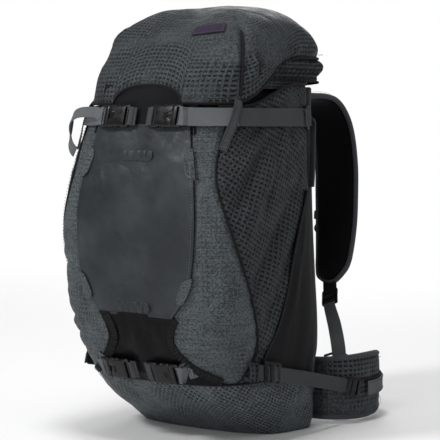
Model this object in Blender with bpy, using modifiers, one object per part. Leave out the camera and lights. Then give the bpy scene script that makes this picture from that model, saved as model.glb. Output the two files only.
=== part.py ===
"""Ski backpack of about 35 litres: shell, hinged lid, harness, hip belt, straps and buckles.

The pack stands on its flat base with the origin on the floor. +Z is up, +X is the pack's
left-right axis of symmetry, -Y is the front that faces away from the wearer, and +Y is the
wearer's side. All lengths are in metres.
"""
import math

import bmesh
import bpy
from mathutils import Matrix, Vector

# Driving dimensions
WALL = 0.003              # shell fabric with its foam backing
SEAM = 0.0014             # width left open along a sewn seam
BASE_TOP = 0.085          # height of the seam between the base and the upper panels
FRONT_TOP = 0.461         # upper edge of the front panel
SIDE_TOP = 0.493          # upper edge of the side panels towards the back
BASE_HEIGHTS = [BASE_TOP - SEAM / 2, 0.066, 0.048, 0.030, 0.016, 0.006]
REAR_SEAM = 35.2          # angle of the seam between side and back, degrees from +X
BACK_PAD = 0.0110         # thickness of the padded back panel
WEBBING = 0.025           # width of the compression webbing
WEBBING_THICK = 0.0016
NARROW_WEBBING = 0.020    # width of the harness webbing
BELT_WEBBING = 0.038
KEEPER_WIDTH = 0.014
SLOT = 0.0036             # opening of a webbing slot in a buckle or slide
STRAP_LEVEL = 0.0036      # height of a strap's underside over the shell
TOP_STRAP_Z = 0.446
BOTTOM_STRAP_Z = 0.104
BUCKLE_LENGTH = 0.034     # female half of a side-release buckle
BUCKLE_HEIGHT = 0.0085
LID_HINGE = (0.0, 0.154, 0.500)
ZIP_REACH = 0.085         # the slider parks this far from the middle
SHOULDER_HINGE_Y = 0.136
SHOULDER_HINGE_Z = 0.452
WING_HINGE = (0.171, 0.215)

# Cross-sections of the bag: height, half width, taper to the back, front y, back y and
# the roundness powers of the front and back corners.
BODY = [
    (0.000, 0.106, 0.06, -0.006, 0.108, 3.0, 4.0),
    (0.020, 0.118, 0.07, -0.018, 0.116, 3.2, 4.5),
    (0.050, 0.129, 0.08, -0.062, 0.120, 3.4, 5.0),
    (0.085, 0.139, 0.09, -0.095, 0.122, 3.7, 5.0),
    (0.120, 0.147, 0.08, -0.112, 0.120, 4.0, 5.0),
    (0.160, 0.153, 0.06, -0.122, 0.116, 4.2, 5.0),
    (0.220, 0.158, 0.03, -0.130, 0.110, 4.4, 5.0),
    (0.300, 0.159, 0.01, -0.132, 0.106, 4.4, 5.0),
    (0.360, 0.155, 0.02, -0.126, 0.106, 4.2, 5.0),
    (0.400, 0.149, 0.04, -0.117, 0.108, 4.0, 5.0),
    (0.440, 0.140, 0.07, -0.106, 0.112, 4.0, 5.0),
    (0.470, 0.135, 0.09, -0.098, 0.116, 4.0, 5.0),
    (0.510, 0.131, 0.11, -0.092, 0.120, 4.0, 5.0),
]

# The same for the lid, from its lower edge up to the crown.
LID = [
    (0.460, 0.138, 0.08, -0.103, 0.149, 4.0, 6.0),
    (0.500, 0.138, 0.07, -0.091, 0.156, 4.0, 6.0),
    (0.530, 0.136, 0.06, -0.070, 0.161, 3.6, 6.0),
    (0.555, 0.129, 0.04, -0.046, 0.163, 3.2, 5.0),
    (0.577, 0.116, 0.04, -0.012, 0.157, 3.0, 3.4),
    (0.594, 0.092, 0.03, 0.025, 0.143, 2.6, 2.8),
    (0.604, 0.059, 0.02, 0.058, 0.121, 2.3, 2.4),
    (0.608, 0.014, 0.00, 0.085, 0.100, 2.0, 2.0),
]

# Seam between the front and the side panel: height and angle from +X in degrees.
FRONT_SEAM = [(0.085, -30.0), (0.100, -24.0), (0.130, -17.0), (0.172, -18.0), (0.212, -22.0),
              (0.250, -27.0), (0.290, -32.0), (0.336, -37.0), (0.365, -39.0), (0.400, -38.0),
              (0.461, -31.0)]
# Right-hand edges of the smooth front shield and of the lower shield under it.
SHIELD_EDGE = [(0.176, -62.0), (0.200, -55.0), (0.232, -50.5), (0.300, -48.5), (0.362, -49.0),
               (0.408, -51.0), (0.436, -52.0)]
LOWER_EDGE = [(0.085, -38.0), (0.105, -47.0), (0.130, -58.0), (0.158, -64.0), (0.180, -60.0)]
# Routes over the right side: angle, height and level over the shell.
KEEPER = [(-22.0, 0.466, 0.0068), (-25.0, 0.453, 0.0068), (-28.0, 0.438, 0.0068),
          (-32.0, 0.424, 0.0044), (-37.0, 0.403, 0.0012)]
STABILISER_TAB = [(-20.0, 0.118, 0.0010), (-13.0, 0.108, 0.0024), (-8.0, 0.100, 0.0055)]

COLOURS = {
    "ripstop": (0.060, 0.065, 0.070), "shield": (0.075, 0.082, 0.088),
    "black_fabric": (0.012, 0.012, 0.013), "mesh": (0.010, 0.010, 0.011),
    "webbing": (0.160, 0.165, 0.170), "plastic": (0.010, 0.010, 0.011),
    "label": (0.110, 0.060, 0.140), "sheet": (0.700, 0.700, 0.680),
}
ROUGHNESS = {"shield": 0.45, "plastic": 0.30, "sheet": 0.40}

for old in list(bpy.data.objects):
    bpy.data.objects.remove(old, do_unlink=True)
parts = bpy.data.collections.new("ski_backpack")
guides = bpy.data.collections.new("ski_backpack_cutters")
bpy.context.scene.collection.children.link(parts)
bpy.context.scene.collection.children.link(guides)
finishes = {}


# ---------------------------------------------------------------- curves and surfaces
def smooth_value(table, x):
    """Value on a smooth curve through rows of (x, value, ...)."""
    x = min(max(x, table[0][0]), table[-1][0])
    last = len(table) - 1
    i = next(k for k in range(last) if x <= table[k + 1][0])

    def slope(k, column):
        low, high = max(k - 1, 0), min(k + 1, last)
        return (table[high][column] - table[low][column]) / (table[high][0] - table[low][0])

    h = table[i + 1][0] - table[i][0]
    u = (x - table[i][0]) / h
    weights = (2 * u**3 - 3 * u**2 + 1, (u**3 - 2 * u**2 + u) * h,
               3 * u**2 - 2 * u**3, (u**3 - u**2) * h)
    values = []
    for column in range(1, len(table[0])):
        ends = (table[i][column], slope(i, column), table[i + 1][column], slope(i + 1, column))
        values.append(sum(w * e for w, e in zip(weights, ends)))
    return values


def smooth_path(points, count):
    """Points along a smooth curve through a few 3D points, evenly spaced in parameter."""
    table = [(float(i), *p) for i, p in enumerate(points)]
    return [Vector(smooth_value(table, i * (len(points) - 1) / (count - 1))) for i in range(count)]


class Loft:
    """Surface through rounded-box sections, addressed by an angle and a height parameter."""

    def __init__(self, sections, by_height):
        self.rows = [(s[0] if by_height else float(i), *s) for i, s in enumerate(sections)]

    def point(self, angle, t):
        z, half, taper, front, back, front_power, back_power = smooth_value(self.rows, t)
        c, s = math.cos(math.radians(angle)), math.sin(math.radians(angle))
        depth, middle = (back - front) / 2, (back + front) / 2
        power = front_power if s < 0 else back_power
        radius = (abs(c / half)**power + abs(s / depth)**power)**(-1 / power)
        return Vector((radius * c * (1 + taper * radius * s / depth), middle + radius * s, z))

    def frame(self, angle, t):
        """Outward normal and the two tangents, per degree and per unit of t."""
        around = (self.point(angle + 0.5, t) - self.point(angle - 0.5, t))
        low, high = max(t - 0.002, self.rows[0][0]), min(t + 0.002, self.rows[-1][0])
        up = (self.point(angle, high) - self.point(angle, low)) / (high - low)
        return around.cross(up).normalized(), around, up

    def offset(self, angle, t, level):
        return self.point(angle, t) + self.frame(angle, t)[0] * level

    def step(self, angle, t, across, upward):
        """Angle and t after moving along the surface by two lengths."""
        _, around, up = self.frame(angle, t)
        return angle + across / around.length, t + upward / up.length

    def angle_at(self, x, t, front=True):
        """Angle on the front or back face at which the surface reaches x."""
        low, high = (-90.0, 0.0) if front else (90.0, 0.0)
        for _ in range(30):
            mid = (low + high) / 2
            low, high = (mid, high) if self.point(mid, t).x < abs(x) else (low, mid)
        if x >= 0:
            return low
        return -180.0 - low if front else 180.0 - low


body = Loft(BODY, True)
lid = Loft(LID, False)


def ramp(x, low, high):
    u = min(max((x - low) / (high - low), 0.0), 1.0)
    return u * u * (3 - 2 * u)


def right_hand(angle):
    """The angle, or its mirror image when it is on the left half."""
    turned = (angle + 180.0) % 360.0 - 180.0
    if abs(turned) <= 90.0:
        return turned
    return math.copysign(180.0, turned) - turned


def body_top(angle):
    """Upper edge of the shell: low in front, higher at the sides and back."""
    near = right_hand(angle)
    return FRONT_TOP + (SIDE_TOP - FRONT_TOP) * ramp(near, -27.0, 22.0)


def lid_edge(angle):
    """Lid parameter of its lower edge: an arch over the front and a rise to the sides."""
    near = right_hand(angle)
    arch = 0.62 * (1 - ramp(abs(near + 90), 0.0, 26.0))
    return 0.14 + arch + 1.70 * ramp(near, -36.0, 28.0)


# ---------------------------------------------------------------- building helpers
def finish(kind):
    if kind not in finishes:
        material = bpy.data.materials.new(kind)
        material.use_nodes = True
        shader = material.node_tree.nodes["Principled BSDF"]
        shader.inputs["Base Color"].default_value = (*COLOURS[kind], 1.0)
        shader.inputs["Roughness"].default_value = ROUGHNESS.get(kind, 0.85)
        shader.inputs["Metallic"].default_value = 0.0
        finishes[kind] = material
    return finishes[kind]


def place(name, data, kind, pivot=None, smooth=True):
    """Link a mesh or curve as one named piece, on its joint's empty if it moves."""
    piece = bpy.data.objects.new(name, data)
    parts.objects.link(piece)
    material = finish(kind).copy()
    material.name = name
    data.materials.append(material)
    if pivot is not None:
        piece.parent = pivot
        piece.matrix_parent_inverse = Matrix.Translation(pivot.location).inverted()
    if smooth and hasattr(data, "shade_smooth"):
        data.shade_smooth()
        data.set_sharp_from_angle(angle=math.radians(40))
    return piece


def pivot_at(name, location, parent=None):
    empty = bpy.data.objects.new(name, None)
    parts.objects.link(empty)
    empty.location = location
    if parent is not None:
        empty.parent = parent
        empty.matrix_parent_inverse = Matrix.Translation(parent.location).inverted()
    return empty


def modifier(piece, kind, **settings):
    added = piece.modifiers.new(kind.title(), kind)
    for key, value in settings.items():
        setattr(added, key, value)
    return added


def grid_mesh(name, rows, closed=False, crown=None):
    """Mesh over rows of points; closed joins each row's ends, crown closes the last row."""
    mesh = bpy.data.meshes.new(name)
    bm = bmesh.new()
    verts = [[bm.verts.new(p) for p in row] for row in rows]
    for low, high in zip(verts, verts[1:]):
        count = len(low)
        for i in range(count if closed else count - 1):
            j = (i + 1) % count
            bm.faces.new((low[i], low[j], high[j], high[i]))
    if crown is not None:
        tip = bm.verts.new(crown)
        ring = verts[-1]
        for i, vert in enumerate(ring):
            bm.faces.new((vert, ring[(i + 1) % len(ring)], tip))
    bm.to_mesh(mesh)
    bm.free()
    return mesh


def shell(name, rows, thickness, kind, outward=False, pivot=None, closed=False, crown=None):
    """Open surface given thickness, inward unless told otherwise."""
    piece = place(name, grid_mesh(name, rows, closed, crown), kind, pivot)
    modifier(piece, "SOLIDIFY", thickness=thickness, offset=1.0 if outward else -1.0,
             use_even_offset=True)
    return piece


def patch(name, loft, left, right, low, high, counts, level, thickness, kind, pivot=None,
          outward=True):
    """Sheet on a loft between two side edges; every bound is a function or a number."""
    def value(bound, x):
        return bound(x) if callable(bound) else bound

    across, upward = counts
    rows = []
    for j in range(upward + 1):
        row = []
        for i in range(across + 1):
            u, v = i / across, j / upward
            angle = (value(left, 0) + value(right, 0)) / 2
            for _ in range(4):
                t = value(low, angle) + (value(high, angle) - value(low, angle)) * v
                angle = value(left, t) + (value(right, t) - value(left, t)) * u
            row.append(loft.offset(angle, t, level))
        rows.append(row)
    return shell(name, rows, thickness, kind, outward, pivot)


def ribbon(name, edges, thickness, kind, pivot=None):
    """Strap whose cross rows run from one edge to the other, thickened outward."""
    return shell(name, edges, thickness, kind, True, pivot)


def surface_strap(name, loft, route, width, thickness, kind, count, pivot=None, columns=2):
    """Strap lying over a loft along (angle, t, level) waypoints."""
    path = smooth_path(route, count)
    rows = []
    for k, (angle, t, level) in enumerate(path):
        ahead, behind = path[min(k + 1, count - 1)], path[max(k - 1, 0)]
        run = loft.point(ahead[0], ahead[1]) - loft.point(behind[0], behind[1])
        normal, around, up = loft.frame(angle, t)
        side = normal.cross(run).normalized()
        row = []
        for i in range(columns + 1):
            shift = (0.5 - i / columns) * width
            beside = loft.step(angle, t, shift * side.dot(around.normalized()),
                               shift * side.dot(up.normalized()))
            row.append(loft.offset(*beside, level))
        rows.append(row)
    return ribbon(name, rows, thickness, kind, pivot)


def free_strap(name, points, faces, width, thickness, kind, count, pivot=None):
    """Flat webbing through 3D points; faces gives the direction that its outside faces."""
    path = smooth_path(points, count)
    normals = smooth_path(faces, count)
    rows = []
    for k, centre in enumerate(path):
        run = path[min(k + 1, count - 1)] - path[max(k - 1, 0)]
        side = normals[k].cross(run).normalized() * (width / 2)
        rows.append([centre + side, centre - side])
    return ribbon(name, rows, thickness, kind, pivot)


def pad(name, points, faces, widths, thickness, kind, count, pivot=None, sides=10):
    """Foam pad: a rounded-rectangle section swept along a smooth path."""
    path = smooth_path(points, count)
    normals = smooth_path(faces, count)
    spans = smooth_path([(w, 0, 0) for w in widths], count)
    rows = []
    for k, centre in enumerate(path):
        run = path[min(k + 1, count - 1)] - path[max(k - 1, 0)]
        side = normals[k].cross(run).normalized()
        out = run.cross(side).normalized()
        row = []
        for i in range(sides):
            a = 2 * math.pi * (i + 0.5) / sides
            x = math.copysign(abs(math.cos(a))**0.4, math.cos(a)) * spans[k].x / 2
            y = math.copysign(abs(math.sin(a))**0.7, math.sin(a)) * thickness / 2
            row.append(centre + side * x + out * y)
        rows.append(row)
    mesh = grid_mesh(name, rows, True)
    bm = bmesh.new()
    bm.from_mesh(mesh)
    bm.verts.ensure_lookup_table()
    bm.faces.new([bm.verts[i] for i in range(sides)])
    bm.faces.new([bm.verts[(count - 1) * sides + i] for i in range(sides)])
    bmesh.ops.recalc_face_normals(bm, faces=bm.faces)
    bm.to_mesh(mesh)
    bm.free()
    return place(name, mesh, kind, pivot)


def frame_of(origin, x_axis, z_axis):
    """Matrix with its X along x_axis, its Z close to z_axis and the given origin."""
    x = Vector(x_axis).normalized()
    y = Vector(z_axis).cross(x).normalized()
    z = x.cross(y)
    return Matrix((x, y, z)).transposed().to_4x4(), Vector(origin)


def box_mesh(name, size, centre=(0, 0, 0)):
    mesh = bpy.data.meshes.new(name)
    bm = bmesh.new()
    bmesh.ops.create_cube(bm, size=1.0, matrix=Matrix.Translation(centre)
                          @ Matrix.Diagonal((*size, 1.0)))
    bm.to_mesh(mesh)
    bm.free()
    return mesh


def moved(mesh, rotation, origin):
    mesh.transform(Matrix.Translation(origin) @ rotation)
    return mesh


def cutter(name, size, centre, rotation, origin):
    tool = bpy.data.objects.new(name, moved(box_mesh(name, size, centre), rotation, origin))
    guides.objects.link(tool)
    tool.hide_render = True
    tool.display_type = "WIRE"
    return tool


def outline_mesh(name, loops, thickness):
    """Flat plate from an outer loop and hole loops, centred on its own plane."""
    curve = bpy.data.curves.new(name, "CURVE")
    curve.dimensions = "2D"
    curve.fill_mode = "BOTH"
    curve.extrude = thickness / 2
    for loop in loops:
        spline = curve.splines.new("POLY")
        spline.points.add(len(loop) - 1)
        for point, (x, y) in zip(spline.points, loop):
            point.co = (x, y, 0.0, 1.0)
        spline.use_cyclic_u = True
    holder = bpy.data.objects.new(name, curve)
    guides.objects.link(holder)
    evaluated = holder.evaluated_get(bpy.context.evaluated_depsgraph_get())
    mesh = bpy.data.meshes.new_from_object(evaluated)
    bpy.data.objects.remove(holder)
    bm = bmesh.new()
    bm.from_mesh(mesh)
    bmesh.ops.remove_doubles(bm, verts=bm.verts, dist=0.00001)
    bmesh.ops.recalc_face_normals(bm, faces=bm.faces)
    bm.to_mesh(mesh)
    bm.free()
    mesh.materials.clear()
    return mesh


def rectangle(width, height, x=0.0, y=0.0, corner=0.0):
    """Corner points of a rectangle, chamfered when corner is given."""
    w, h = width / 2, height / 2
    if corner == 0.0:
        return [(x - w, y - h), (x + w, y - h), (x + w, y + h), (x - w, y + h)]
    c = corner
    return [(x - w + c, y - h), (x + w - c, y - h), (x + w, y - h + c), (x + w, y + h - c),
            (x + w - c, y + h), (x - w + c, y + h), (x - w, y + h - c), (x - w, y - h + c)]


# ---------------------------------------------------------------- hardware
def ladder_lock(name, origin, pull, normal, width, pivot=None):
    """Three-bar slide for webbing: a plate with two slots across the pull direction."""
    slot = width + 0.001
    loops = [rectangle(0.024, width + 0.009, corner=0.003),
             rectangle(SLOT, slot, x=-0.0055), rectangle(SLOT, slot, x=0.0055)]
    rotation, centre = frame_of(origin, pull, normal)
    return place(name, moved(outline_mesh(name, loops, 0.0035), rotation, centre), "plastic",
                 pivot, smooth=False)


def buckle_socket(name, origin, mouth, normal, width, pivot=None, length=BUCKLE_LENGTH):
    """Female buckle half: a box with a cavity open at its mouth, side windows and a bar slot."""
    rotation, centre = frame_of(origin, mouth, normal)
    height = BUCKLE_HEIGHT
    piece = place(name, moved(box_mesh(name, (length, width + 0.007, height)), rotation, centre),
                  "plastic", pivot, smooth=False)
    cavity = cutter(name + "_cavity", (length - 0.010, width + 0.002, height - 0.0030),
                    (0.0055, 0, 0), rotation, centre)
    windows = cutter(name + "_windows", (length * 0.30, width + 0.020, height - 0.0032),
                     (-0.001, 0, 0), rotation, centre)
    bar = cutter(name + "_bar", (SLOT, width + 0.001, height + 0.010),
                 (0.0045 - length / 2, 0, 0), rotation, centre)
    for tool in (cavity, windows, bar):
        modifier(piece, "BOOLEAN", operation="DIFFERENCE", object=tool, solver="EXACT")
    return piece


def buckle_plug(name, origin, mouth, normal, width, pivot, length=BUCKLE_LENGTH):
    """Male buckle half: a webbing bar, a shoulder and three prongs that sit in the socket."""
    reach = length - 0.0125
    half = width / 2
    prong = 0.0045
    tip = -reach
    outline = [(0.0006, -half - 0.0035), (0.014, -half - 0.0035), (0.014, half + 0.0035),
               (0.0006, half + 0.0035), (0.0006, half), (tip + 0.004, half), (tip, half - 0.002),
               (tip, half - prong), (-0.004, half - prong), (-0.004, 0.002),
               (tip + 0.002, 0.002), (tip + 0.002, -0.002), (-0.004, -0.002),
               (-0.004, -half + prong), (tip, -half + prong), (tip, -half + 0.002),
               (tip + 0.004, -half), (0.0006, -half)]
    loops = [outline, rectangle(SLOT, width + 0.001, x=0.0085)]
    rotation, _ = frame_of(origin, mouth, normal)
    at_mouth = Vector(origin) + Vector(mouth).normalized() * (length / 2)
    return place(name, moved(outline_mesh(name, loops, BUCKLE_HEIGHT - 0.0045), rotation,
                             at_mouth), "plastic", pivot, smooth=False)


# ---------------------------------------------------------------- the bag
def front_edge(z):
    return smooth_value(FRONT_SEAM, z)[0]


def shield_edge(z):
    return smooth_value(SHIELD_EDGE, z)[0]


def lower_edge(z):
    return smooth_value(LOWER_EDGE, z)[0]


def on_side(sign, angle):
    """An angle on the right-hand side, mirrored for the left-hand side."""
    return angle if sign > 0 else -180.0 - angle


def seam_angle(z, angle):
    """Half a seam's width as an angle on the shell."""
    return SEAM / 2 / body.frame(angle, z)[1].length


def build_shell():
    patch("front_panel", body,
          lambda z: -180 - front_edge(z) + seam_angle(z, front_edge(z)),
          lambda z: front_edge(z) - seam_angle(z, front_edge(z)),
          BASE_TOP + SEAM / 2, body_top, (16, 12), 0.0, WALL, "ripstop", outward=False)
    patch("side_panel_right", body,
          lambda z: front_edge(z) + seam_angle(z, front_edge(z)), REAR_SEAM,
          BASE_TOP + SEAM / 2, body_top, (12, 12), 0.0, WALL, "ripstop", outward=False)
    patch("side_panel_left", body, 180 - REAR_SEAM,
          lambda z: 180 - front_edge(z) - seam_angle(z, front_edge(z)),
          BASE_TOP + SEAM / 2, body_top, (12, 12), 0.0, WALL, "ripstop", outward=False)
    back_angles = [36.0 + 9.0 * i for i in range(13)]
    back_heights = BASE_HEIGHTS[3::-1] + [0.115, 0.160, 0.220, 0.300, 0.370, 0.430, 0.489]
    shell("back_panel", [[body.offset(a, z, 0.0006) for a in back_angles] for z in back_heights],
          BACK_PAD, "mesh", outward=True)
    patch("frame_sheet", body, 52.0, 128.0, 0.030, 0.426, (8, 8), -0.0070, 0.0015, "sheet")
    build_base()
    build_collar()


def build_base():
    """Tub that closes the bottom of the bag, with a flat underside."""
    angles = [i * 9.0 for i in range(40)]
    rows = [[body.point(a, z) for a in angles] for z in BASE_HEIGHTS]
    middle = Vector((0.0, 0.050, 0.0))
    flat = [body.point(a, 0.0) for a in angles]
    rows += [[middle + (p - middle) * s for p in flat] for s in (1.0, 0.55)]
    rows = [list(reversed(row)) for row in rows]
    shell("base_panel", rows, WALL, "ripstop", closed=True, crown=middle)


def build_collar():
    """Gathered cuff with a drawcord that stands inside the bag's mouth."""
    angles = [i * 9.0 for i in range(40)]
    heights = [0.436, 0.462, 0.486, 0.506]
    rows = [[body.offset(a, z, -0.0056 - 0.16 * (z - heights[0])) for a in angles]
            for z in heights]
    shell("collar", rows, 0.002, "black_fabric", closed=True)


def build_front():
    """Coated shield, lower shield and the two sewn lash tabs on the shield."""
    patch("front_shield", body, lambda z: -180 - shield_edge(z), shield_edge,
          0.178, 0.436, (12, 8), 0.0010, 0.001, "shield")
    patch("lower_shield", body, lambda z: -180 - lower_edge(z), lower_edge,
          BASE_TOP + 0.003, 0.1765, (10, 5), 0.0020, 0.001, "black_fabric")
    for name, z in (("lash_tab_upper", 0.395), ("lash_tab_lower", 0.190)):
        patch(name, body, -104.0, -76.0, z - 0.0075, z + 0.0075, (4, 2), 0.0026, 0.0012,
              "shield")


# ---------------------------------------------------------------- the lid
def build_lid():
    pivot = pivot_at("lid_hinge", LID_HINGE)
    angles = [i * 9.0 for i in range(40)]
    steps = [i / 7 for i in range(8)]
    crown_t = len(LID) - 1
    rows = [[lid.point(a, lid_edge(a) + (crown_t - lid_edge(a)) * s) for a in angles]
            for s in steps]
    top = sum(rows[-1], Vector()) / len(angles)
    shell("lid_shell", rows, WALL, "ripstop", pivot=pivot, closed=True, crown=top)
    plate = [lid.offset(a, 2.05, -0.0078) for a in angles]
    floor = outline_mesh("lid_floor", [[(p.x, p.y) for p in plate]], 0.0015)
    place("lid_floor", moved(floor, Matrix(), Vector((0, 0, plate[0].z))), "black_fabric", pivot,
          smooth=False)
    skirt = [[lid.offset(a, t, -0.0062) for a in angles] for t in (1.10, 1.45, 1.85)]
    shell("lid_skirt", skirt, 0.0016, "ripstop", pivot=pivot, closed=True)
    patch("lid_label", lid, -68.0, -47.0, 3.05, 3.62, (4, 2), 0.0005, 0.0008, "label", pivot)
    zip_t = 2.55
    patch("lid_zip", lid, 50.0, 130.0, zip_t - 0.28, zip_t + 0.28, (14, 1), 0.0008, 0.0012,
          "black_fabric", pivot)
    build_zip_slider(zip_t, pivot)


def build_zip_slider(zip_t, lid_pivot):
    """Slider that runs on the zip, and the pull that hinges on it."""
    at = lid.point(lid.angle_at(ZIP_REACH, zip_t, front=False), zip_t)
    depth = lid.point(90.0, zip_t).y + 0.0052
    slide = pivot_at("lid_zip_slide", (at.x, depth, at.z), lid_pivot)
    place("lid_zip_slider", box_mesh("lid_zip_slider", (0.009, 0.004, 0.008),
                                     (at.x, depth, at.z)), "plastic", slide, smooth=False)
    ring = (at.x, depth + 0.0046, at.z - 0.001)
    hinge = pivot_at("lid_zip_pull_hinge", ring, slide)
    loops = [rectangle(0.007, 0.026, y=-0.011, corner=0.002), rectangle(0.003, 0.005, y=-0.003)]
    tab = moved(outline_mesh("lid_zip_pull", loops, 0.0016),
                Matrix.Rotation(math.radians(90), 4, "X"), Vector(ring))
    place("lid_zip_pull", tab, "plastic", hinge, smooth=False)


# ---------------------------------------------------------------- straps on the bag
def build_compression(sign, side):
    """Top and bottom compression straps of one side with their buckles."""
    for level, z, inner in (("top", TOP_STRAP_Z, 0.020), ("bottom", BOTTOM_STRAP_Z, 0.018)):
        front = body.point(-90.0, z).y
        tilt = body.frame(-90.0, z)[0]
        rise = 0.0042 + BUCKLE_HEIGHT / 2
        centre = Vector((0, front, z)) + tilt * rise
        centre.x = sign * (inner + BUCKLE_LENGTH / 2)
        mouth = Vector((sign, 0, 0))
        pivot = pivot_at(f"{level}_buckle_{side}_release", centre)
        buckle_socket(f"{level}_buckle_socket_{side}", centre, mouth, tilt, WEBBING)
        buckle_plug(f"{level}_buckle_plug_{side}", centre, mouth, tilt, WEBBING, pivot)
        start = inner + BUCKLE_LENGTH + 0.020
        first = body.angle_at(start, z)
        if level == "top":
            route = [(first, 0.0), (-45.0, 0.0), (-30.0, 0.0), (-12.0, 0.0), (8.0, 0.0),
                     (26.0, 0.0)]
            end, lock_z, count = 26.0, z, 13
        else:
            route = [(first, 0.0), (-46.0, 0.004), (-36.0, 0.010)]
            end, lock_z, count = -36.0, z + 0.010, 5
        waypoints = [(on_side(sign, a), z + dz, STRAP_LEVEL) for a, dz in route]
        surface_strap(f"{level}_strap_{side}", body, waypoints, WEBBING, WEBBING_THICK,
                      "webbing", count)
        if level == "top":
            past = body.step(end, lock_z, 0.0145, 0)[0]
            normal, around, _ = body.frame(on_side(sign, past), lock_z)
            origin = body.offset(on_side(sign, past), lock_z, 0.0045)
            ladder_lock(f"top_ladder_lock_{side}", origin, around, normal, WEBBING)
    keeper = [(on_side(sign, a), z, level) for a, z, level in KEEPER]
    surface_strap(f"strap_keeper_{side}", body, keeper, KEEPER_WIDTH, 0.0012, "webbing", 9)


def build_stabiliser(sign, side):
    """Strap from the bag's lower side to the hip belt, with its sewn tab and slide."""
    tab = [(on_side(sign, a), z, level) for a, z, level in STABILISER_TAB]
    surface_strap(f"stabiliser_tab_{side}", body, tab, 0.024, WEBBING_THICK, "ripstop", 4)
    points = [(0.1550, -0.004, 0.0945), (0.1580, 0.050, 0.083), (0.1595, 0.105, 0.070),
              (0.1612, 0.140, 0.062), (0.1655, 0.1580, 0.057), (0.1722, 0.1725, 0.053)]
    faces = [(1, -0.10, 0.2), (1, -0.08, 0.2), (1, -0.05, 0.15), (1, -0.15, 0.1),
             (0.9, -0.4, 0.0), (0.88, -0.45, 0.0)]
    first = Vector(points[0])
    pull = Vector(points[1]) - first
    origin = first - pull.normalized() * 0.0145
    origin.x += 0.0005
    ladder_lock(f"stabiliser_buckle_{side}", (sign * origin.x, origin.y, origin.z),
                (sign * pull.x, pull.y, pull.z), (sign, -0.12, 0.2), NARROW_WEBBING)
    free_strap(f"stabiliser_webbing_{side}", [(sign * x, y, z) for x, y, z in points],
               [(sign * x, y, z) for x, y, z in faces], NARROW_WEBBING, WEBBING_THICK,
               "webbing", 11)


def build_haul_loop():
    """Grab handle between the shoulder straps."""
    points = [(-0.026, 0.1335, 0.462), (-0.022, 0.148, 0.464), (-0.011, 0.159, 0.466),
              (0.0, 0.162, 0.467), (0.011, 0.159, 0.466), (0.022, 0.148, 0.464),
              (0.026, 0.1335, 0.462)]
    faces = [(-1, 0.1, 0), (-1, 0.5, 0), (-0.5, 1, 0), (0, 1, 0), (0.5, 1, 0), (1, 0.5, 0),
             (1, 0.1, 0)]
    free_strap("haul_loop", points, faces, NARROW_WEBBING, 0.002, "black_fabric", 13)


# ---------------------------------------------------------------- harness
def build_shoulder(sign, side):
    pivot = pivot_at(f"shoulder_{side}_hinge", (sign * 0.062, SHOULDER_HINGE_Y,
                                                SHOULDER_HINGE_Z))
    points = [(0.062, 0.1475, 0.461), (0.068, 0.161, 0.4715), (0.076, 0.190, 0.477),
              (0.084, 0.222, 0.466), (0.090, 0.241, 0.432), (0.093, 0.249, 0.380),
              (0.094, 0.249, 0.330), (0.097, 0.243, 0.280), (0.102, 0.228, 0.232),
              (0.107, 0.208, 0.200)]
    faces = [(0, 0.6, 0.8), (0, 0.35, 1), (0, 0.2, 1), (0.1, 0.8, 0.8), (0.2, 1, 0.3),
             (0.2, 1, 0.05), (0.2, 1, 0), (0.2, 1, -0.15), (0.2, 1, -0.35), (0.2, 1, -0.6)]
    widths = [0.046, 0.050, 0.056, 0.060, 0.062, 0.064, 0.064, 0.062, 0.056, 0.038]
    pad(f"shoulder_pad_{side}", [(sign * x, y, z) for x, y, z in points],
        [(sign * x, y, z) for x, y, z in faces], widths, 0.013, "mesh", 15, pivot)
    lock = (sign * 0.1135, 0.1975, 0.1795)
    pull = Vector((sign * 0.25, -0.45, -0.90))
    ladder_lock(f"shoulder_buckle_{side}", lock, pull, (0.2 * sign, 0.9, -0.45),
                NARROW_WEBBING, pivot)
    end = Vector(lock) + pull.normalized() * 0.0145
    route = [(abs(end.x), end.y, end.z), (0.1290, 0.192, 0.140), (0.1400, 0.190, 0.112),
             (0.1460, 0.1790, 0.088), (0.1488, 0.1718, 0.066), (0.1488, 0.1716, 0.045)]
    facing = [(0.2, 0.9, -0.4), (0, 1, -0.2), (-0.3, 1, 0), (-0.65, 0.75, 0), (-0.735, 0.68, 0),
              (-0.735, 0.68, 0)]
    free_strap(f"shoulder_webbing_{side}", [(sign * x, y, z) for x, y, z in route],
               [(sign * x, y, z) for x, y, z in facing], NARROW_WEBBING, WEBBING_THICK,
               "webbing", 11)
    build_sternum(sign, side, pivot)


def build_sternum(sign, side, shoulder_pivot):
    """Half of the sternum strap, hanging unfastened from its shoulder pad."""
    pivot = pivot_at(f"sternum_{side}_slide", (sign * 0.060, 0.267, 0.372), shoulder_pivot)
    points = [(sign * 0.062, 0.2665, 0.378), (sign * 0.058, 0.2670, 0.362),
              (sign * 0.057, 0.2670, 0.335), (sign * 0.057, 0.2665, 0.305)]
    free_strap(f"sternum_strap_{side}", points, [(0, 1, 0)] * 4, NARROW_WEBBING, WEBBING_THICK,
               "webbing", 7, pivot)
    end = Vector((sign * 0.057, 0.2673, 0.2865))
    if sign < 0:
        buckle_socket(f"sternum_buckle_{side}", end, (0, 0, -1), (0, 1, 0), NARROW_WEBBING,
                      pivot)
    else:
        buckle_plug(f"sternum_buckle_{side}", end + Vector((0, 0, -0.0145)), (0, 0, 1),
                    (0, 1, 0), NARROW_WEBBING, pivot)


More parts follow.
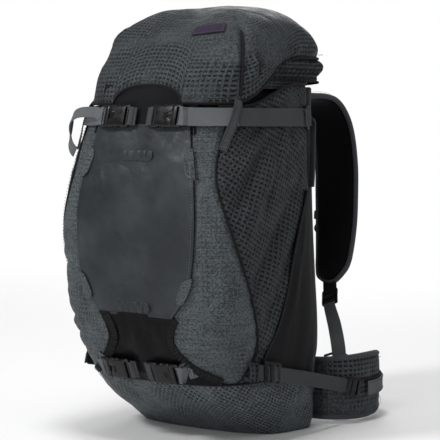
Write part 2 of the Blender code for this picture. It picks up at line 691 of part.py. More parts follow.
def build_belt(sign, side):
    def flip(points):
        return [(sign * x, y, z) for x, y, z in points]

    pivot = pivot_at(f"hip_wing_{side}_hinge", (sign * WING_HINGE[0], WING_HINGE[1], 0.053))
    root = [(0.100, 0.1435, 0.052), (0.132, 0.1480, 0.052), (0.157, 0.1640, 0.053),
            (0.168, 0.187, 0.053), (0.171, 0.2120, 0.053)]
    out = [(0.1, -1, 0), (0.5, -1, 0), (1, -0.6, 0), (1, -0.2, 0), (1, 0, 0)]
    pad(f"belt_root_{side}", flip(root), flip(out), [0.088, 0.090, 0.092, 0.094, 0.094], 0.013,
        "ripstop", 8)
    wing = [(0.1710, 0.2170, 0.053), (0.1690, 0.236, 0.054), (0.1580, 0.259, 0.055),
            (0.1400, 0.275, 0.056), (0.1220, 0.284, 0.057)]
    outward = [(1, 0, 0), (1, 0.2, 0), (1, 0.9, 0), (0.6, 1, 0), (0.4, 1, 0)]
    pad(f"hip_wing_{side}", flip(wing), flip(outward), [0.094, 0.090, 0.080, 0.066, 0.048],
        0.013, "ripstop", 8, pivot)
    webbing = [(0.1200, 0.2848, 0.057), (0.106, 0.2905, 0.057), (0.0885, 0.2945, 0.057)]
    free_strap(f"belt_webbing_{side}", flip(webbing), flip([(0.3, 1, 0), (0.2, 1, 0), (0.2, 1, 0)]),
               BELT_WEBBING, 0.002, "webbing", 4, pivot)
    centre = Vector((sign * 0.0640, 0.2990, 0.057))
    length = 0.044
    if sign < 0:
        buckle_socket(f"belt_buckle_{side}", centre, (1, 0.15, 0), (-0.15, 1, 0), BELT_WEBBING,
                      pivot, length)
    else:
        buckle_plug(f"belt_buckle_{side}", centre - Vector((0.0125, -0.0019, 0)), (1, -0.15, 0),
                    (0.15, 1, 0), BELT_WEBBING, pivot, length)


def build_harness():
    pad("lumbar_pad", [(-0.098, 0.1425, 0.062), (0.0, 0.1445, 0.062), (0.098, 0.1425, 0.062)],
        [(0, -1, 0)] * 3, [0.080, 0.094, 0.080], 0.012, "mesh", 5)
    for sign, side in ((1, "right"), (-1, "left")):
        build_shoulder(sign, side)
        build_belt(sign, side)


build_shell()
build_front()
build_lid()
build_haul_loop()
for strap_sign, strap_side in ((1, "right"), (-1, "left")):
    build_compression(strap_sign, strap_side)
    build_stabiliser(strap_sign, strap_side)
build_harness()
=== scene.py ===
"""Looks of the ski backpack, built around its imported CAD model. All lengths are in metres.

+Z is up, +X is the right-hand side seen from the front, -Y is the front of the pack and +Y is
the wearer's side. The lofts and tables follow those of the CAD source, so a fabric panel lies
in or close to the space that its CAD solid holds. The base's lower rows and the lid's edge are
rounder here than in the CAD model, as in the photo.
"""
import math

import bmesh
import bpy
import numpy as np
from mathutils import Matrix, Vector


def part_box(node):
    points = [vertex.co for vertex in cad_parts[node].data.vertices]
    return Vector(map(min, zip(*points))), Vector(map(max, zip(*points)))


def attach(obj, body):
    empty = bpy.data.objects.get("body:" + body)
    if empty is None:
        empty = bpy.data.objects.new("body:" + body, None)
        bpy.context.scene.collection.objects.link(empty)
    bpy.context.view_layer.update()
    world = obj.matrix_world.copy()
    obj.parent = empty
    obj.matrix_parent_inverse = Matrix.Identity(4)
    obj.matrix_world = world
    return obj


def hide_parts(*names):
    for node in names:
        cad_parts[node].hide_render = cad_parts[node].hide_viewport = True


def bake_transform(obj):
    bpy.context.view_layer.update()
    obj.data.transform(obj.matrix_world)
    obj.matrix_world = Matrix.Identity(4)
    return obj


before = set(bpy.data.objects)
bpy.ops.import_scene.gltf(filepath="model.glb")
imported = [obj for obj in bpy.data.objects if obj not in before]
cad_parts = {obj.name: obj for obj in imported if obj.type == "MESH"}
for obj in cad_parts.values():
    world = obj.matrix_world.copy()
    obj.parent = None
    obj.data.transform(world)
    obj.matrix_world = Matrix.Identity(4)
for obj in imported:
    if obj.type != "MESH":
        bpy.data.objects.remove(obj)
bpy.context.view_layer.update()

# Driving dimensions
FABRIC = 0.0014           # shell fabric with its backing
WEBBING_THICK = 0.0016
WEBBING = 0.025
NARROW_WEBBING = 0.020
BELT_WEBBING = 0.038
KEEPER_WIDTH = 0.0115
STRAP_LEVEL = 0.0036
BASE_TOP = 0.085
FRONT_TOP = 0.461
SIDE_TOP = 0.493
MOUTH = 0.4865            # rim of the bag under the lid
STRETCH_TOP = 0.345       # top of the stretch panel at each side's rear
REAR_SEAM = 35.2          # angle of the seam between side and back
TOP_STRAP_Z = 0.446
BOTTOM_STRAP_Z = 0.104
BUCKLE_LENGTH = 0.034
BUCKLE_HEIGHT = 0.0085
AMBIENT = 0.26            # strength of the studio's even light
RIPSTOP_PITCH = 0.0068    # one block of the ripstop weave
GRID = 0.0030             # size of a fabric panel's mesh squares
TINY = 1e-9
SIDES = ((1, "right"), (-1, "left"))

# Cross-sections of the bag: height, half width, taper to the back, front y, back y and
# the roundness powers of the front and back corners.
BODY = [
    (0.000, 0.127, 0.09, 0.014, 0.122, 2.8, 7.0), (0.020, 0.133, 0.09, -0.016, 0.125, 3.0, 7.0),
    (0.050, 0.137, 0.09, -0.061, 0.124, 3.4, 6.5), (0.085, 0.139, 0.09, -0.095, 0.122, 3.7, 5.0),
    (0.120, 0.147, 0.08, -0.112, 0.120, 4.0, 5.0), (0.160, 0.153, 0.06, -0.122, 0.116, 4.2, 5.0),
    (0.220, 0.158, 0.03, -0.130, 0.110, 4.4, 5.0), (0.300, 0.159, 0.01, -0.132, 0.106, 4.4, 5.0),
    (0.360, 0.155, 0.02, -0.126, 0.106, 4.2, 5.0), (0.400, 0.149, 0.04, -0.117, 0.108, 4.0, 5.0),
    (0.440, 0.140, 0.07, -0.106, 0.112, 4.0, 5.0), (0.470, 0.135, 0.09, -0.098, 0.116, 4.0, 5.0),
    (0.510, 0.131, 0.11, -0.092, 0.120, 4.0, 5.0)]
# The same for the lid, from its lower edge up to the crown.
LID = [
    (0.460, 0.138, 0.08, -0.103, 0.149, 4.0, 6.0), (0.500, 0.138, 0.07, -0.091, 0.156, 4.0, 6.0),
    (0.530, 0.136, 0.06, -0.070, 0.161, 3.6, 6.0), (0.555, 0.129, 0.04, -0.046, 0.163, 3.2, 5.0),
    (0.577, 0.116, 0.04, -0.012, 0.157, 3.0, 3.4), (0.594, 0.092, 0.03, 0.025, 0.143, 2.6, 2.8),
    (0.604, 0.059, 0.02, 0.058, 0.121, 2.3, 2.4), (0.608, 0.014, 0.00, 0.085, 0.100, 2.0, 2.0)]
# Seams and edges on the right-hand side: height and angle from +X in degrees.
FRONT_SEAM = [(0.085, -30.0), (0.100, -24.0), (0.130, -17.0), (0.172, -18.0), (0.212, -22.0),
              (0.250, -27.0), (0.290, -32.0), (0.336, -37.0), (0.365, -39.0), (0.400, -38.0),
              (0.461, -31.0)]
SHIELD_EDGE = [(0.176, -62.0), (0.200, -55.0), (0.232, -50.5), (0.300, -48.5), (0.362, -49.0),
               (0.408, -51.0), (0.436, -52.0)]
LOWER_EDGE = [(0.085, -33.0), (0.092, -39.0), (0.112, -53.5), (0.142, -64.5), (0.160, -64.5),
              (0.180, -60.5)]
STRETCH_EDGE = [(0.088, -15.0), (0.124, -11.0), (0.158, -2.0), (0.200, 5.0), (0.250, 11.0),
                (0.300, 18.0), (0.345, 26.0)]
# Folds of the front panel's right half: a route of angle and height, width and depth.
FRONT_FOLDS = [([(-48, 0.252), (-38, 0.246), (-29, 0.240)], 0.006, -0.0030),
               ([(-40, 0.225), (-38, 0.170), (-42, 0.120)], 0.022, 0.0035),
               ([(-52, 0.150), (-42, 0.142), (-32, 0.146), (-24, 0.140)], 0.005, -0.0030),
               ([(-50, 0.126), (-42, 0.118), (-32, 0.120)], 0.004, -0.0026),
               ([(-44, 0.172), (-36, 0.168), (-26, 0.174)], 0.005, -0.0024),
               ([(-44, 0.345), (-41, 0.330), (-38, 0.300)], 0.005, -0.0026),
               ([(-47, 0.290), (-42, 0.276), (-36, 0.268), (-32, 0.270)], 0.005, -0.0030),
               ([(-46, 0.400), (-43, 0.385), (-40, 0.366)], 0.004, -0.0020)]
# Folds of the shield, on both sides of the middle.
SHIELD_FOLDS = [([(-128, 0.372), (-122, 0.352), (-126, 0.330)], 0.006, -0.0026),
                ([(-121, 0.380), (-117, 0.360), (-118, 0.338)], 0.007, 0.0020),
                ([(-112, 0.205), (-95, 0.196), (-72, 0.202)], 0.012, 0.0022),
                ([(-58, 0.428), (-64, 0.408), (-70, 0.395)], 0.008, 0.0018),
                ([(-80, 0.300), (-74, 0.250), (-76, 0.205)], 0.020, 0.0020),
                ([(-104, 0.310), (-108, 0.262), (-104, 0.215)], 0.018, -0.0016)]
# The strap keeper's route over the right side: angle, height and level over the shell.
KEEPER = [(-26.0, 0.480, -0.0008), (-27.4, 0.470, 0.0016), (-28.6, 0.460, 0.0058),
          (-29.8, 0.449, 0.0064), (-31.2, 0.436, 0.0062), (-33.2, 0.422, 0.0034),
          (-35.8, 0.403, 0.0012)]


# ---------------------------------------------------------------- curves and surfaces
def curve(table, x):
    """Values on a smooth curve through rows of (x, value, ...), for an array of x."""
    table = np.asarray(table, float)
    knots, values = table[:, 0], table[:, 1:]
    x = np.clip(np.asarray(x, float), knots[0], knots[-1])
    order = np.arange(len(knots))
    i = np.clip(np.searchsorted(knots, x, side="right") - 1, 0, len(knots) - 2)
    low, high = np.maximum(order - 1, 0), np.minimum(order + 1, len(knots) - 1)
    slope = (values[high] - values[low]) / (knots[high] - knots[low])[:, None]
    h = (knots[i + 1] - knots[i])[..., None]
    u = (x - knots[i])[..., None] / h
    return ((2 * u**3 - 3 * u**2 + 1) * values[i] + (u**3 - 2 * u**2 + u) * h * slope[i]
            + (3 * u**2 - 2 * u**3) * values[i + 1] + (u**3 - u**2) * h * slope[i + 1])


def smooth_path(points, count):
    """Points along a smooth curve through a few points, evenly spaced in parameter."""
    table = [(float(i), *p) for i, p in enumerate(points)]
    return curve(table, np.linspace(0, len(points) - 1, count))


def ramp(x, low, high):
    u = np.clip((x - low) / (high - low), 0.0, 1.0)
    return u * u * (3 - 2 * u)


def unit(vectors):
    return vectors / (np.linalg.norm(vectors, axis=-1, keepdims=True) + TINY)


def distances(path):
    """Distance from a path's start to each of its points."""
    return np.concatenate([[0.0], np.cumsum(np.linalg.norm(np.diff(path, axis=0), axis=1))])


class Loft:
    """Surface through rounded-box sections, addressed by an angle and a height parameter."""

    def __init__(self, sections, by_height):
        self.rows = [(s[0] if by_height else float(i), *s) for i, s in enumerate(sections)]

    def point(self, angle, t):
        angle, t = np.broadcast_arrays(np.asarray(angle, float), np.asarray(t, float))
        z, half, taper, front, back, front_power, back_power = np.moveaxis(
            curve(self.rows, t), -1, 0)
        c, s = np.cos(np.radians(angle)), np.sin(np.radians(angle))
        depth, middle = (back - front) / 2, (back + front) / 2
        power = np.where(s < 0, front_power, back_power)
        radius = (np.abs(c / half)**power + np.abs(s / depth)**power)**(-1 / power)
        x = radius * c * (1 + taper * radius * s / depth)
        return np.stack([x, middle + radius * s, z], axis=-1)

    def tangents(self, angle, t):
        """Vectors along the surface per degree and per unit of t."""
        t = np.asarray(t, float)
        low = np.maximum(t - 0.002, self.rows[0][0])
        high = np.minimum(t + 0.002, self.rows[-1][0])
        around = self.point(angle + 0.5, t) - self.point(angle - 0.5, t)
        up = (self.point(angle, high) - self.point(angle, low)) / (high - low)[..., None]
        return around, up

    def normal(self, angle, t):
        around, up = self.tangents(angle, t)
        return unit(np.cross(around, up))

    def offset(self, angle, t, level):
        level = np.asarray(level, float)[..., None]
        return self.point(angle, t) + self.normal(angle, t) * level

    def step(self, angle, t, across, upward):
        """Angle and t after moving along the surface by two lengths."""
        around, up = self.tangents(angle, t)
        return (angle + across / np.linalg.norm(around, axis=-1),
                t + upward / np.linalg.norm(up, axis=-1))

    def angle_at(self, x, t):
        """Angle on the front face at which the surface reaches a positive x."""
        low, high = -90.0, 0.0
        for _ in range(30):
            mid = (low + high) / 2
            low, high = (mid, high) if self.point(mid, t)[0] < x else (low, mid)
        return low


body = Loft(BODY, True)
lid = Loft(LID, False)


def right_hand(angle):
    """The angle, or its mirror image when it is on the left half."""
    turned = (np.asarray(angle, float) + 180.0) % 360.0 - 180.0
    return np.where(np.abs(turned) <= 90.0, turned, np.copysign(180.0, turned) - turned)


def on_side(sign, angle):
    """An angle on the right-hand side, mirrored for the left-hand side."""
    return angle if sign > 0 else -180.0 - angle


def mirrored(route, sign, shift=0.0):
    """A route of (angle, t) on the right-hand side, or its mirror image."""
    return [(on_side(sign, a + shift), t) for a, t in route]


def body_top(angle):
    return FRONT_TOP + (SIDE_TOP - FRONT_TOP) * ramp(right_hand(angle), -27.0, 22.0)


def lid_edge(angle):
    near = right_hand(angle)
    arch = 0.62 * np.sqrt(np.clip(1 - (np.abs(near + 90) / 27.0)**2.6, 0.0, 1.0))
    return 0.14 + arch + 1.92 * ramp(near, -36.0, 16.0)


def edge_of(table):
    """An edge's angle on the right-hand side as a function of height."""
    return lambda z: curve(table, z)[..., 0]


front_edge = edge_of(FRONT_SEAM)
shield_edge = edge_of(SHIELD_EDGE)
lower_edge = edge_of(LOWER_EDGE)
stretch_edge = edge_of(STRETCH_EDGE)


def noise(points, scale, seed=0):
    """Smooth noise from -1 to 1 over points, with features about scale wide."""
    q = np.asarray(points, float) / scale + 7.31 * seed
    cell = np.floor(q).astype(np.int64)
    part = q - cell
    part = part * part * (3 - 2 * part)
    total = np.zeros(q.shape[:-1])
    for corner in np.ndindex(2, 2, 2):
        at = cell + corner
        mixed = (at[..., 0] * 73856093) ^ (at[..., 1] * 19349663) ^ (at[..., 2] * 83492791)
        mixed = (mixed ^ (mixed >> 13)) * 1274126177 & 0x7fffffff
        value = ((mixed ^ (mixed >> 15)) & 0xffff) / 32767.5 - 1
        near = np.where(np.array(corner) == 1, part, 1 - part)
        total += value * near.prod(axis=-1)
    return total


def ripple(seed, *parts):
    """Noise over up to three coordinates that are counted in widths of a feature."""
    parts = [*parts, 0.0, 0.0][:3]
    return noise(np.stack(np.broadcast_arrays(*parts), axis=-1), 1.0, seed)


def wrinkles(points, seed):
    """Slack of a filled bag: broad swells with smaller ones on them."""
    return (0.0022 * noise(points, 0.085, seed) + 0.0010 * noise(points, 0.036, seed + 1)
            + 0.0004 * noise(points, 0.017, seed + 2))


def gathers(along, away, seed, depth=0.0014, pitch=0.011, reach=0.020):
    """Small folds that run into a seam and fade with the distance from it."""
    return depth * ripple(seed, along / pitch, away / 0.05) * np.exp(-away / reach)


def crease(points, loft, route, width, depth):
    """Relief of one fold along a route of (angle, t) points on a loft; a valley if negative."""
    line = smooth_path([(a, t, 0) for a, t in route], 60)
    samples = loft.point(line[:, 0], line[:, 1])
    fade = np.sin(np.linspace(0.0, math.pi, 60)) ** 0.6
    away = np.linalg.norm(points[..., None, :] - samples, axis=-1)
    nearest = away.argmin(axis=-1)
    return depth * fade[nearest] * np.exp(-(away.min(axis=-1) / width)**2)


# ---------------------------------------------------------------- materials
class Finish:
    """A procedural material: a Principled shader and the nodes that feed it."""

    def __init__(self, name, colour, roughness, **constants):
        self.material = bpy.data.materials.new(name)
        self.material.use_nodes = True
        self.tree = self.material.node_tree
        self.shader = self.tree.nodes["Principled BSDF"]
        self.shader.inputs["Base Color"].default_value = (*colour, 1.0)
        self.shader.inputs["Roughness"].default_value = roughness
        for key, value in constants.items():
            self.shader.inputs[key.replace("_", " ")].default_value = value
        self.material.diffuse_color = (*colour, 1.0)

    def node(self, kind, inputs, output=0, **settings):
        made = self.tree.nodes.new("ShaderNode" + kind)
        for key, value in settings.items():
            setattr(made, key, value)
        for key, value in inputs.items():
            if isinstance(value, bpy.types.NodeSocket):
                self.tree.links.new(value, made.inputs[key])
            else:
                made.inputs[key].default_value = value
        return made.outputs[output]

    def part(self, vector, axis):
        """One coordinate of a vector: 0 for its X, 1 for its Y."""
        return self.node("SeparateXYZ", {0: vector}, output=axis)

    def math(self, operation, a, b=0.0):
        return self.node("Math", {0: a, 1: b}, operation=operation)

    def vector(self, operation, a, b=(0.0, 0.0, 0.0)):
        return self.node("VectorMath", {0: a, 1: b}, operation=operation)

    def span(self, value, low, high, to_low=0.0, to_high=1.0):
        return self.node("MapRange", {"Value": value, "From Min": low, "From Max": high,
                                      "To Min": to_low, "To Max": to_high},
                         interpolation_type="SMOOTHSTEP")

    def mix(self, factor, a, b):
        a, b = (c if isinstance(c, bpy.types.NodeSocket) else (*c, 1.0) for c in (a, b))
        return self.node("Mix", {0: factor, 6: a, 7: b}, 2, data_type="RGBA")

    def place(self):
        return self.node("TexCoord", {}, output="Object")

    def metres(self):
        return self.node("UVMap", {})

    def cloud(self, size, detail=2.0):
        """Noise between 0 and 1 with features about size wide."""
        return self.node("TexNoise", {"Vector": self.place(), "Scale": 1 / size,
                                      "Detail": detail})

    def relief(self, height, strength, distance):
        """Bump from a height; a second one is laid over the first."""
        socket = self.shader.inputs["Normal"]
        under = {"Normal": socket.links[0].from_socket} if socket.is_linked else {}
        self.tree.links.new(self.node("Bump", {"Height": height, "Strength": strength,
                                               "Distance": distance, **under}), socket)

    def crumple(self, size, depth):
        """Small sharp creases of slack cloth."""
        slack = self.math("ABSOLUTE", self.math("SUBTRACT", self.cloud(size, 2.0), 0.5))
        fine = self.math("ABSOLUTE", self.math("SUBTRACT", self.cloud(size * 0.4, 2.0), 0.5))
        self.relief(self.math("ADD", slack, self.math("MULTIPLY", fine, 0.35)), 1.0, depth)

    def link(self, value, socket):
        self.tree.links.new(value, self.shader.inputs[socket])


def studio_floor():
    """Pale floor that fades into the white of the studio away from the object."""
    finish = Finish("floor", (0.90, 0.90, 0.90), 0.9, Specular_IOR_Level=0.0)
    away = finish.node("VectorMath", {0: finish.place()}, output=1, operation="LENGTH")
    fade = finish.span(away, 0.7, 2.6)
    glow = finish.node("Emission", {"Color": (1.0, 1.0, 1.0, 1.0), "Strength": 1.0})
    shown = finish.node("MixShader", {0: fade, 1: finish.shader.outputs[0], 2: glow})
    output = finish.tree.nodes["Material Output"]
    finish.tree.links.new(shown, output.inputs["Surface"])
    return finish.material


def scaled(colour, factor):
    return tuple(c * factor for c in colour)


def ripstop(name, colour, dark_share=0.5, pitch=RIPSTOP_PITCH):
    """Dobby ripstop: square blocks between paired threads, dark in places and light in others as
    painted sheen.
    """
    finish = Finish(name, colour, 0.58, Specular_IOR_Level=0.14)
    cells = finish.vector("MULTIPLY", finish.metres(), (1 / pitch,) * 3)
    middle = finish.vector("SUBTRACT", finish.vector("FRACTION", cells), (0.5, 0.5, 0.5))
    away = finish.vector("ABSOLUTE", middle)
    x = finish.part(away, 0)
    y = finish.part(away, 1)
    block = finish.span(finish.math("MAXIMUM", x, finish.math("MULTIPLY", y, 1.5)), 0.36, 0.27)
    thread = finish.span(finish.math("MAXIMUM", x, y), 0.44, 0.48)
    # Cloudy patches pick where the squares stay dark; elsewhere they turn light, which is painted
    # sheen. dark_share sets how much of the cloth stays dark.
    middle = 0.72 - 0.44 * dark_share
    dark = finish.span(finish.cloud(0.075, 3.0), middle - 0.13, middle + 0.09)
    # A large cloudy change of tone, laid into the fine heather.
    cloudy_tone = finish.math("MULTIPLY", finish.cloud(0.045, 2.0), 0.15)
    heather = finish.math("ADD", cloudy_tone, finish.math("MULTIPLY", finish.cloud(0.0024, 2.0), 0.85))
    tone = finish.mix(finish.span(heather, 0.36, 0.64), scaled(colour, 0.45),
                      scaled(colour, 1.55))
    # Light squares are painted sheen; dark squares are the weave's own dark tone.
    square = finish.mix(dark, scaled(colour, 2.1), scaled(colour, 0.05))
    strength = finish.math("MULTIPLY", block, finish.math(
        "ADD", 0.42, finish.math("MULTIPLY", dark, 0.50)))
    blocks = finish.mix(strength, tone, square)
    finish.link(finish.mix(finish.math("MULTIPLY", thread, 0.34), blocks, scaled(colour, 2.1)),
                "Base Color")
    weave = finish.node("TexWave", {"Vector": finish.metres(), "Scale": 170.0,
                                    "Distortion": 1.5, "Detail": 1.0}, output=1)
    finish.crumple(0.050, 0.010)
    height = finish.math("SUBTRACT", finish.math("MULTIPLY", thread, 0.8), block)
    finish.relief(finish.math("ADD", height, finish.math("MULTIPLY", weave, 0.25)), 0.55, 0.0005)
    finish.link(finish.span(finish.cloud(0.02), 0.3, 0.7, 0.50, 0.66), "Roughness")
    return finish.material


def coated(name, colour, rough_low, rough_high, grain=0.0009, strength=0.12, gloss=0.22):
    """Smooth coated cloth: a soft gloss, faint cloudy wear and a very fine grain."""
    finish = Finish(name, colour, rough_high, Specular_IOR_Level=gloss)
    cloudy_tone = finish.cloud(0.075, 2.5)
    finish.link(finish.mix(finish.span(cloudy_tone, 0.33, 0.70), scaled(colour, 0.68),
                           scaled(colour, 1.32)), "Base Color")
    finish.link(finish.span(finish.cloud(0.022, 3.0), 0.3, 0.7, rough_low, rough_high),
                "Roughness")
    finish.crumple(0.060, 0.006)
    finish.relief(finish.cloud(grain, 3.0), strength, 0.0003)
    return finish.material


def woven(name, colour, pitch, roughness=0.75, sheen=0.05, strength=0.7, contrast=0.35):
    """Webbing or tape: ribs across its length crossed by rows of picks."""
    finish = Finish(name, colour, roughness, Sheen_Weight=sheen, Sheen_Roughness=0.4,
                    Specular_IOR_Level=0.12)
    turns = finish.vector("MULTIPLY", finish.metres(), (math.tau / pitch,) * 3)
    x = finish.part(turns, 0)
    y = finish.part(turns, 1)
    slant = finish.math("MULTIPLY", finish.math("SINE", finish.math("MULTIPLY", y, 0.25)), 1.6)
    rib = finish.math("SINE", finish.math("ADD", x, slant))
    pick = finish.math("SINE", y)
    height = finish.span(finish.math("MULTIPLY", rib, pick), -1.0, 1.0)
    tone = finish.mix(height, scaled(colour, 1 - contrast), scaled(colour, 1 + contrast))
    soil = finish.span(finish.cloud(0.03, 3.0), 0.35, 0.75)
    finish.link(finish.mix(finish.math("MULTIPLY", soil, 0.25), tone, scaled(colour, 0.6)),
                "Base Color")
    finish.relief(height, strength, 0.0005)
    return finish.material


def spacer_mesh(name, colour):
    """Spacer mesh: rows of small open cells, darkened inside as painted shade, with a soft bloom."""
    finish = Finish(name, colour, 0.85, Sheen_Weight=0.03, Sheen_Roughness=0.5,
                    Specular_IOR_Level=0.10)
    cells = finish.node("TexVoronoi", {"Vector": finish.place(), "Scale": 1 / 0.0034,
                                       "Randomness": 0.25})
    hole = finish.span(cells, 0.42, 0.16)
    tone = finish.mix(finish.span(finish.cloud(0.03), 0.3, 0.7), scaled(colour, 0.8),
                      scaled(colour, 1.3))
    # Inside the cells the colour drops to 0.12 of its tone: painted shade in the hollows.
    finish.link(finish.mix(hole, tone, scaled(colour, 0.12)), "Base Color")
    finish.relief(hole, -0.8, 0.0010)
    return finish.material


def moulded(name, colour, roughness=0.34):
    """Moulded acetal: a fine spark-eroded grain, with edges polished by use."""
    finish = Finish(name, colour, roughness, Specular_IOR_Level=0.26)
    edge = finish.node("NewGeometry", {}, output="Pointiness")
    polish = finish.span(edge, 0.51, 0.58)
    finish.link(finish.mix(polish, colour, scaled(colour, 2.5)), "Base Color")
    rub = finish.span(finish.cloud(0.006, 3.0), 0.35, 0.7, roughness * 0.75, roughness * 1.3)
    finish.link(rub, "Roughness")
    finish.relief(finish.cloud(0.00045, 2.0), 0.22, 0.0002)
    return finish.material


RIPSTOP_COLOUR = (0.050, 0.058, 0.062)
MATERIALS = {
    # The ripstop copies differ in brightness as painted light and shade: the lid's, also used on the
    # hip belt, is darkened to 0.74 and the side panels' to 0.60 as painted shade, the base's is
    # brightened to 1.35 as painted light, and the front keeps the full colour.
    "ripstop": ripstop("ripstop", scaled(RIPSTOP_COLOUR, 0.74), 0.66),
    "lit_base_ripstop": ripstop("lit_base_ripstop", scaled(RIPSTOP_COLOUR, 1.35), 0.55, 0.0060),
    "front_ripstop": ripstop("front_ripstop", RIPSTOP_COLOUR, 0.22),
    "shaded_side_ripstop": ripstop("shaded_side_ripstop", scaled(RIPSTOP_COLOUR, 0.60), 0.92),
    "coated_fabric": coated("coated_fabric", (0.026, 0.031, 0.034), 0.36, 0.54),
    "hypalon": coated("hypalon", (0.0022, 0.0022, 0.0030), 0.30, 0.42, strength=0.18,
                      gloss=0.10),
    "black_fabric": woven("black_fabric", (0.0045, 0.0045, 0.0056), 0.0022, sheen=0.03,
                          strength=0.35, contrast=0.25),
    "stretch_fabric": woven("stretch_fabric", (0.0060, 0.0062, 0.0075), 0.0016, sheen=0.03,
                            strength=0.25, contrast=0.2),
    "mesh_padding": spacer_mesh("mesh_padding", (0.0020, 0.0020, 0.0026)),
    "webbing": woven("webbing", (0.105, 0.112, 0.119), 0.0024),
    "dark_webbing": woven("dark_webbing", (0.050, 0.053, 0.057), 0.0022),
    "binding": woven("binding", (0.060, 0.062, 0.070), 0.0018, contrast=0.3),
    "piping": woven("piping", (0.010, 0.010, 0.011), 0.0015, contrast=0.3),
    "thread": woven("thread", (0.150, 0.155, 0.162), 0.0008, contrast=0.2),
    "dark_thread": woven("dark_thread", (0.012, 0.012, 0.013), 0.0008, contrast=0.2),
    "moulded_plastic": moulded("moulded_plastic", (0.004, 0.004, 0.0048)),
    "frame_plastic": moulded("frame_plastic", (0.022, 0.023, 0.025), 0.45),
    "label": woven("label", (0.030, 0.018, 0.042), 0.0012, contrast=0.3),
    "floor": studio_floor(),
}


# ---------------------------------------------------------------- meshes
def evaluated(piece):
    """A new mesh with the piece's modifiers applied."""
    graph = bpy.context.evaluated_depsgraph_get()
    return bpy.data.meshes.new_from_object(piece.evaluated_get(graph))


def placed(name, data):
    """A new object in the scene that shows a mesh, camera or light."""
    thing = bpy.data.objects.new(name, data)
    bpy.context.scene.collection.objects.link(thing)
    return thing


def plain_mesh(name, points, faces):
    mesh = bpy.data.meshes.new(name)
    mesh.from_pydata([tuple(p) for p in points], [], [tuple(int(i) for i in f) for f in faces])
    return mesh


def tube_faces(rings, sides):
    """Faces between rings of points, with a cap at each end."""
    faces = [(i * sides + j, i * sides + (j + 1) % sides, (i + 1) * sides + (j + 1) % sides,
              (i + 1) * sides + j) for i in range(rings - 1) for j in range(sides)]
    return [*faces, tuple(range(sides))[::-1],
            tuple((rings - 1) * sides + j for j in range(sides))]


def new_piece(name, points, faces, finish, loop_uv):
    mesh = plain_mesh(name, points, faces)
    layer = mesh.uv_layers.new(name="UVMap")
    layer.data.foreach_set("uv", np.asarray(loop_uv, np.float32).ravel())
    mesh.shade_smooth()
    mesh.set_sharp_from_angle(angle=math.radians(50))
    mesh.materials.append(MATERIALS[finish])
    piece = placed(name, mesh)
    return piece


def normals_of(rows, closed=False):
    if closed:
        wide = np.concatenate([rows[:, -1:], rows, rows[:, :1]], axis=1)
        around = wide[:, 2:] - wide[:, :-2]
    else:
        around = np.gradient(rows, axis=1)
    return unit(np.cross(around, np.gradient(rows, axis=0)))


def lengths(rows):
    """Distances along the rows from their middle, and up the middle column."""
    steps = np.linalg.norm(np.diff(rows, axis=1), axis=-1)
    u = np.concatenate([np.zeros((len(rows), 1)), np.cumsum(steps, axis=1)], axis=1)
    u = u - u[:, [u.shape[1] // 2]]
    rises = np.linalg.norm(np.diff(rows, axis=0), axis=-1).mean(axis=1)
    v = np.concatenate([[0.0], np.cumsum(rises)])
    return u, np.repeat(v[:, None], rows.shape[1], axis=1)


def turned(uv, degrees):
    c, s = math.cos(math.radians(degrees)), math.sin(math.radians(degrees))
    return np.stack([uv[..., 0] * c - uv[..., 1] * s, uv[..., 0] * s + uv[..., 1] * c], axis=-1)


def grid_piece(name, rows, finish, thickness=FABRIC, uv=None, closed=False, crown=False):
    """Closed thin body over a grid of points; closed joins each row's ends."""
    rows = np.asarray(rows, float)
    count, across = rows.shape[:2]
    if uv is None:
        wrapped = np.concatenate([rows, rows[:, :1]], axis=1) if closed else rows
        uv = np.stack(lengths(wrapped), axis=-1)
    inner = rows - normals_of(rows, closed) * thickness
    points = [rows.reshape(-1, 3), inner.reshape(-1, 3)]
    width = uv.shape[1]
    r, c = np.meshgrid(np.arange(count - 1), np.arange(across if closed else across - 1),
                       indexing="ij")
    r, c = r.ravel(), c.ravel()
    after = (c + 1) % across
    outer = np.stack([r * across + c, r * across + after, (r + 1) * across + after,
                      (r + 1) * across + c], axis=1)
    spots = np.stack([r * width + c, r * width + c + 1, (r + 1) * width + c + 1,
                      (r + 1) * width + c], axis=1)
    total = count * across
    faces = [outer, outer[:, ::-1] + total]
    marks = [spots, spots[:, ::-1]]

    def rim(line, mark):
        a, b = line[:-1], line[1:]
        faces.append(np.stack([b, a, a + total, b + total], axis=1))
        marks.append(np.stack([mark[1:], mark[:-1], mark[:-1], mark[1:]], axis=1))

    row = np.arange(across + 1) % across if closed else np.arange(across)
    mark = np.arange(len(row))
    rim(row, mark)
    if not crown:
        rim((row + (count - 1) * across)[::-1], (mark + (count - 1) * width)[::-1])
    if not closed:
        column = np.arange(count)
        rim((column * across)[::-1], (column * width)[::-1])
        rim(column * across + across - 1, column * width + width - 1)
    faces, marks = np.concatenate(faces).tolist(), np.concatenate(marks).tolist()
    flat_uv = uv.reshape(-1, 2)
    if crown:
        tops = np.arange(across) + (count - 1) * across
        centre = [rows[-1].mean(axis=0), inner[-1].mean(axis=0)]
        points.append(np.array(centre))
        flat_uv = np.concatenate([flat_uv, uv[-1].mean(axis=0, keepdims=True)])
        for i in range(across):
            j = (i + 1) % across
            faces.append([tops[i], tops[j], 2 * total])
            faces.append([tops[j] + total, tops[i] + total, 2 * total + 1])
            base = (count - 1) * width + i
            marks.append([base, base + 1, len(flat_uv) - 1])
            marks.append([base + 1, base, len(flat_uv) - 1])
    order = [m for face in marks for m in face]
    return new_piece(name, np.concatenate(points), faces, finish, flat_uv[order])


def wear(piece, ride_on, *nodes):
    """Put a finished piece on its body, in place of its CAD nodes."""
    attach(piece, ride_on)
    if nodes:
        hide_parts(*nodes)
    return piece


def sewn(name, shapes, finish, ride_on, *nodes):
    """One piece from several shapes, put on its body."""
    return wear(joined(name, shapes, finish), ride_on, *nodes)


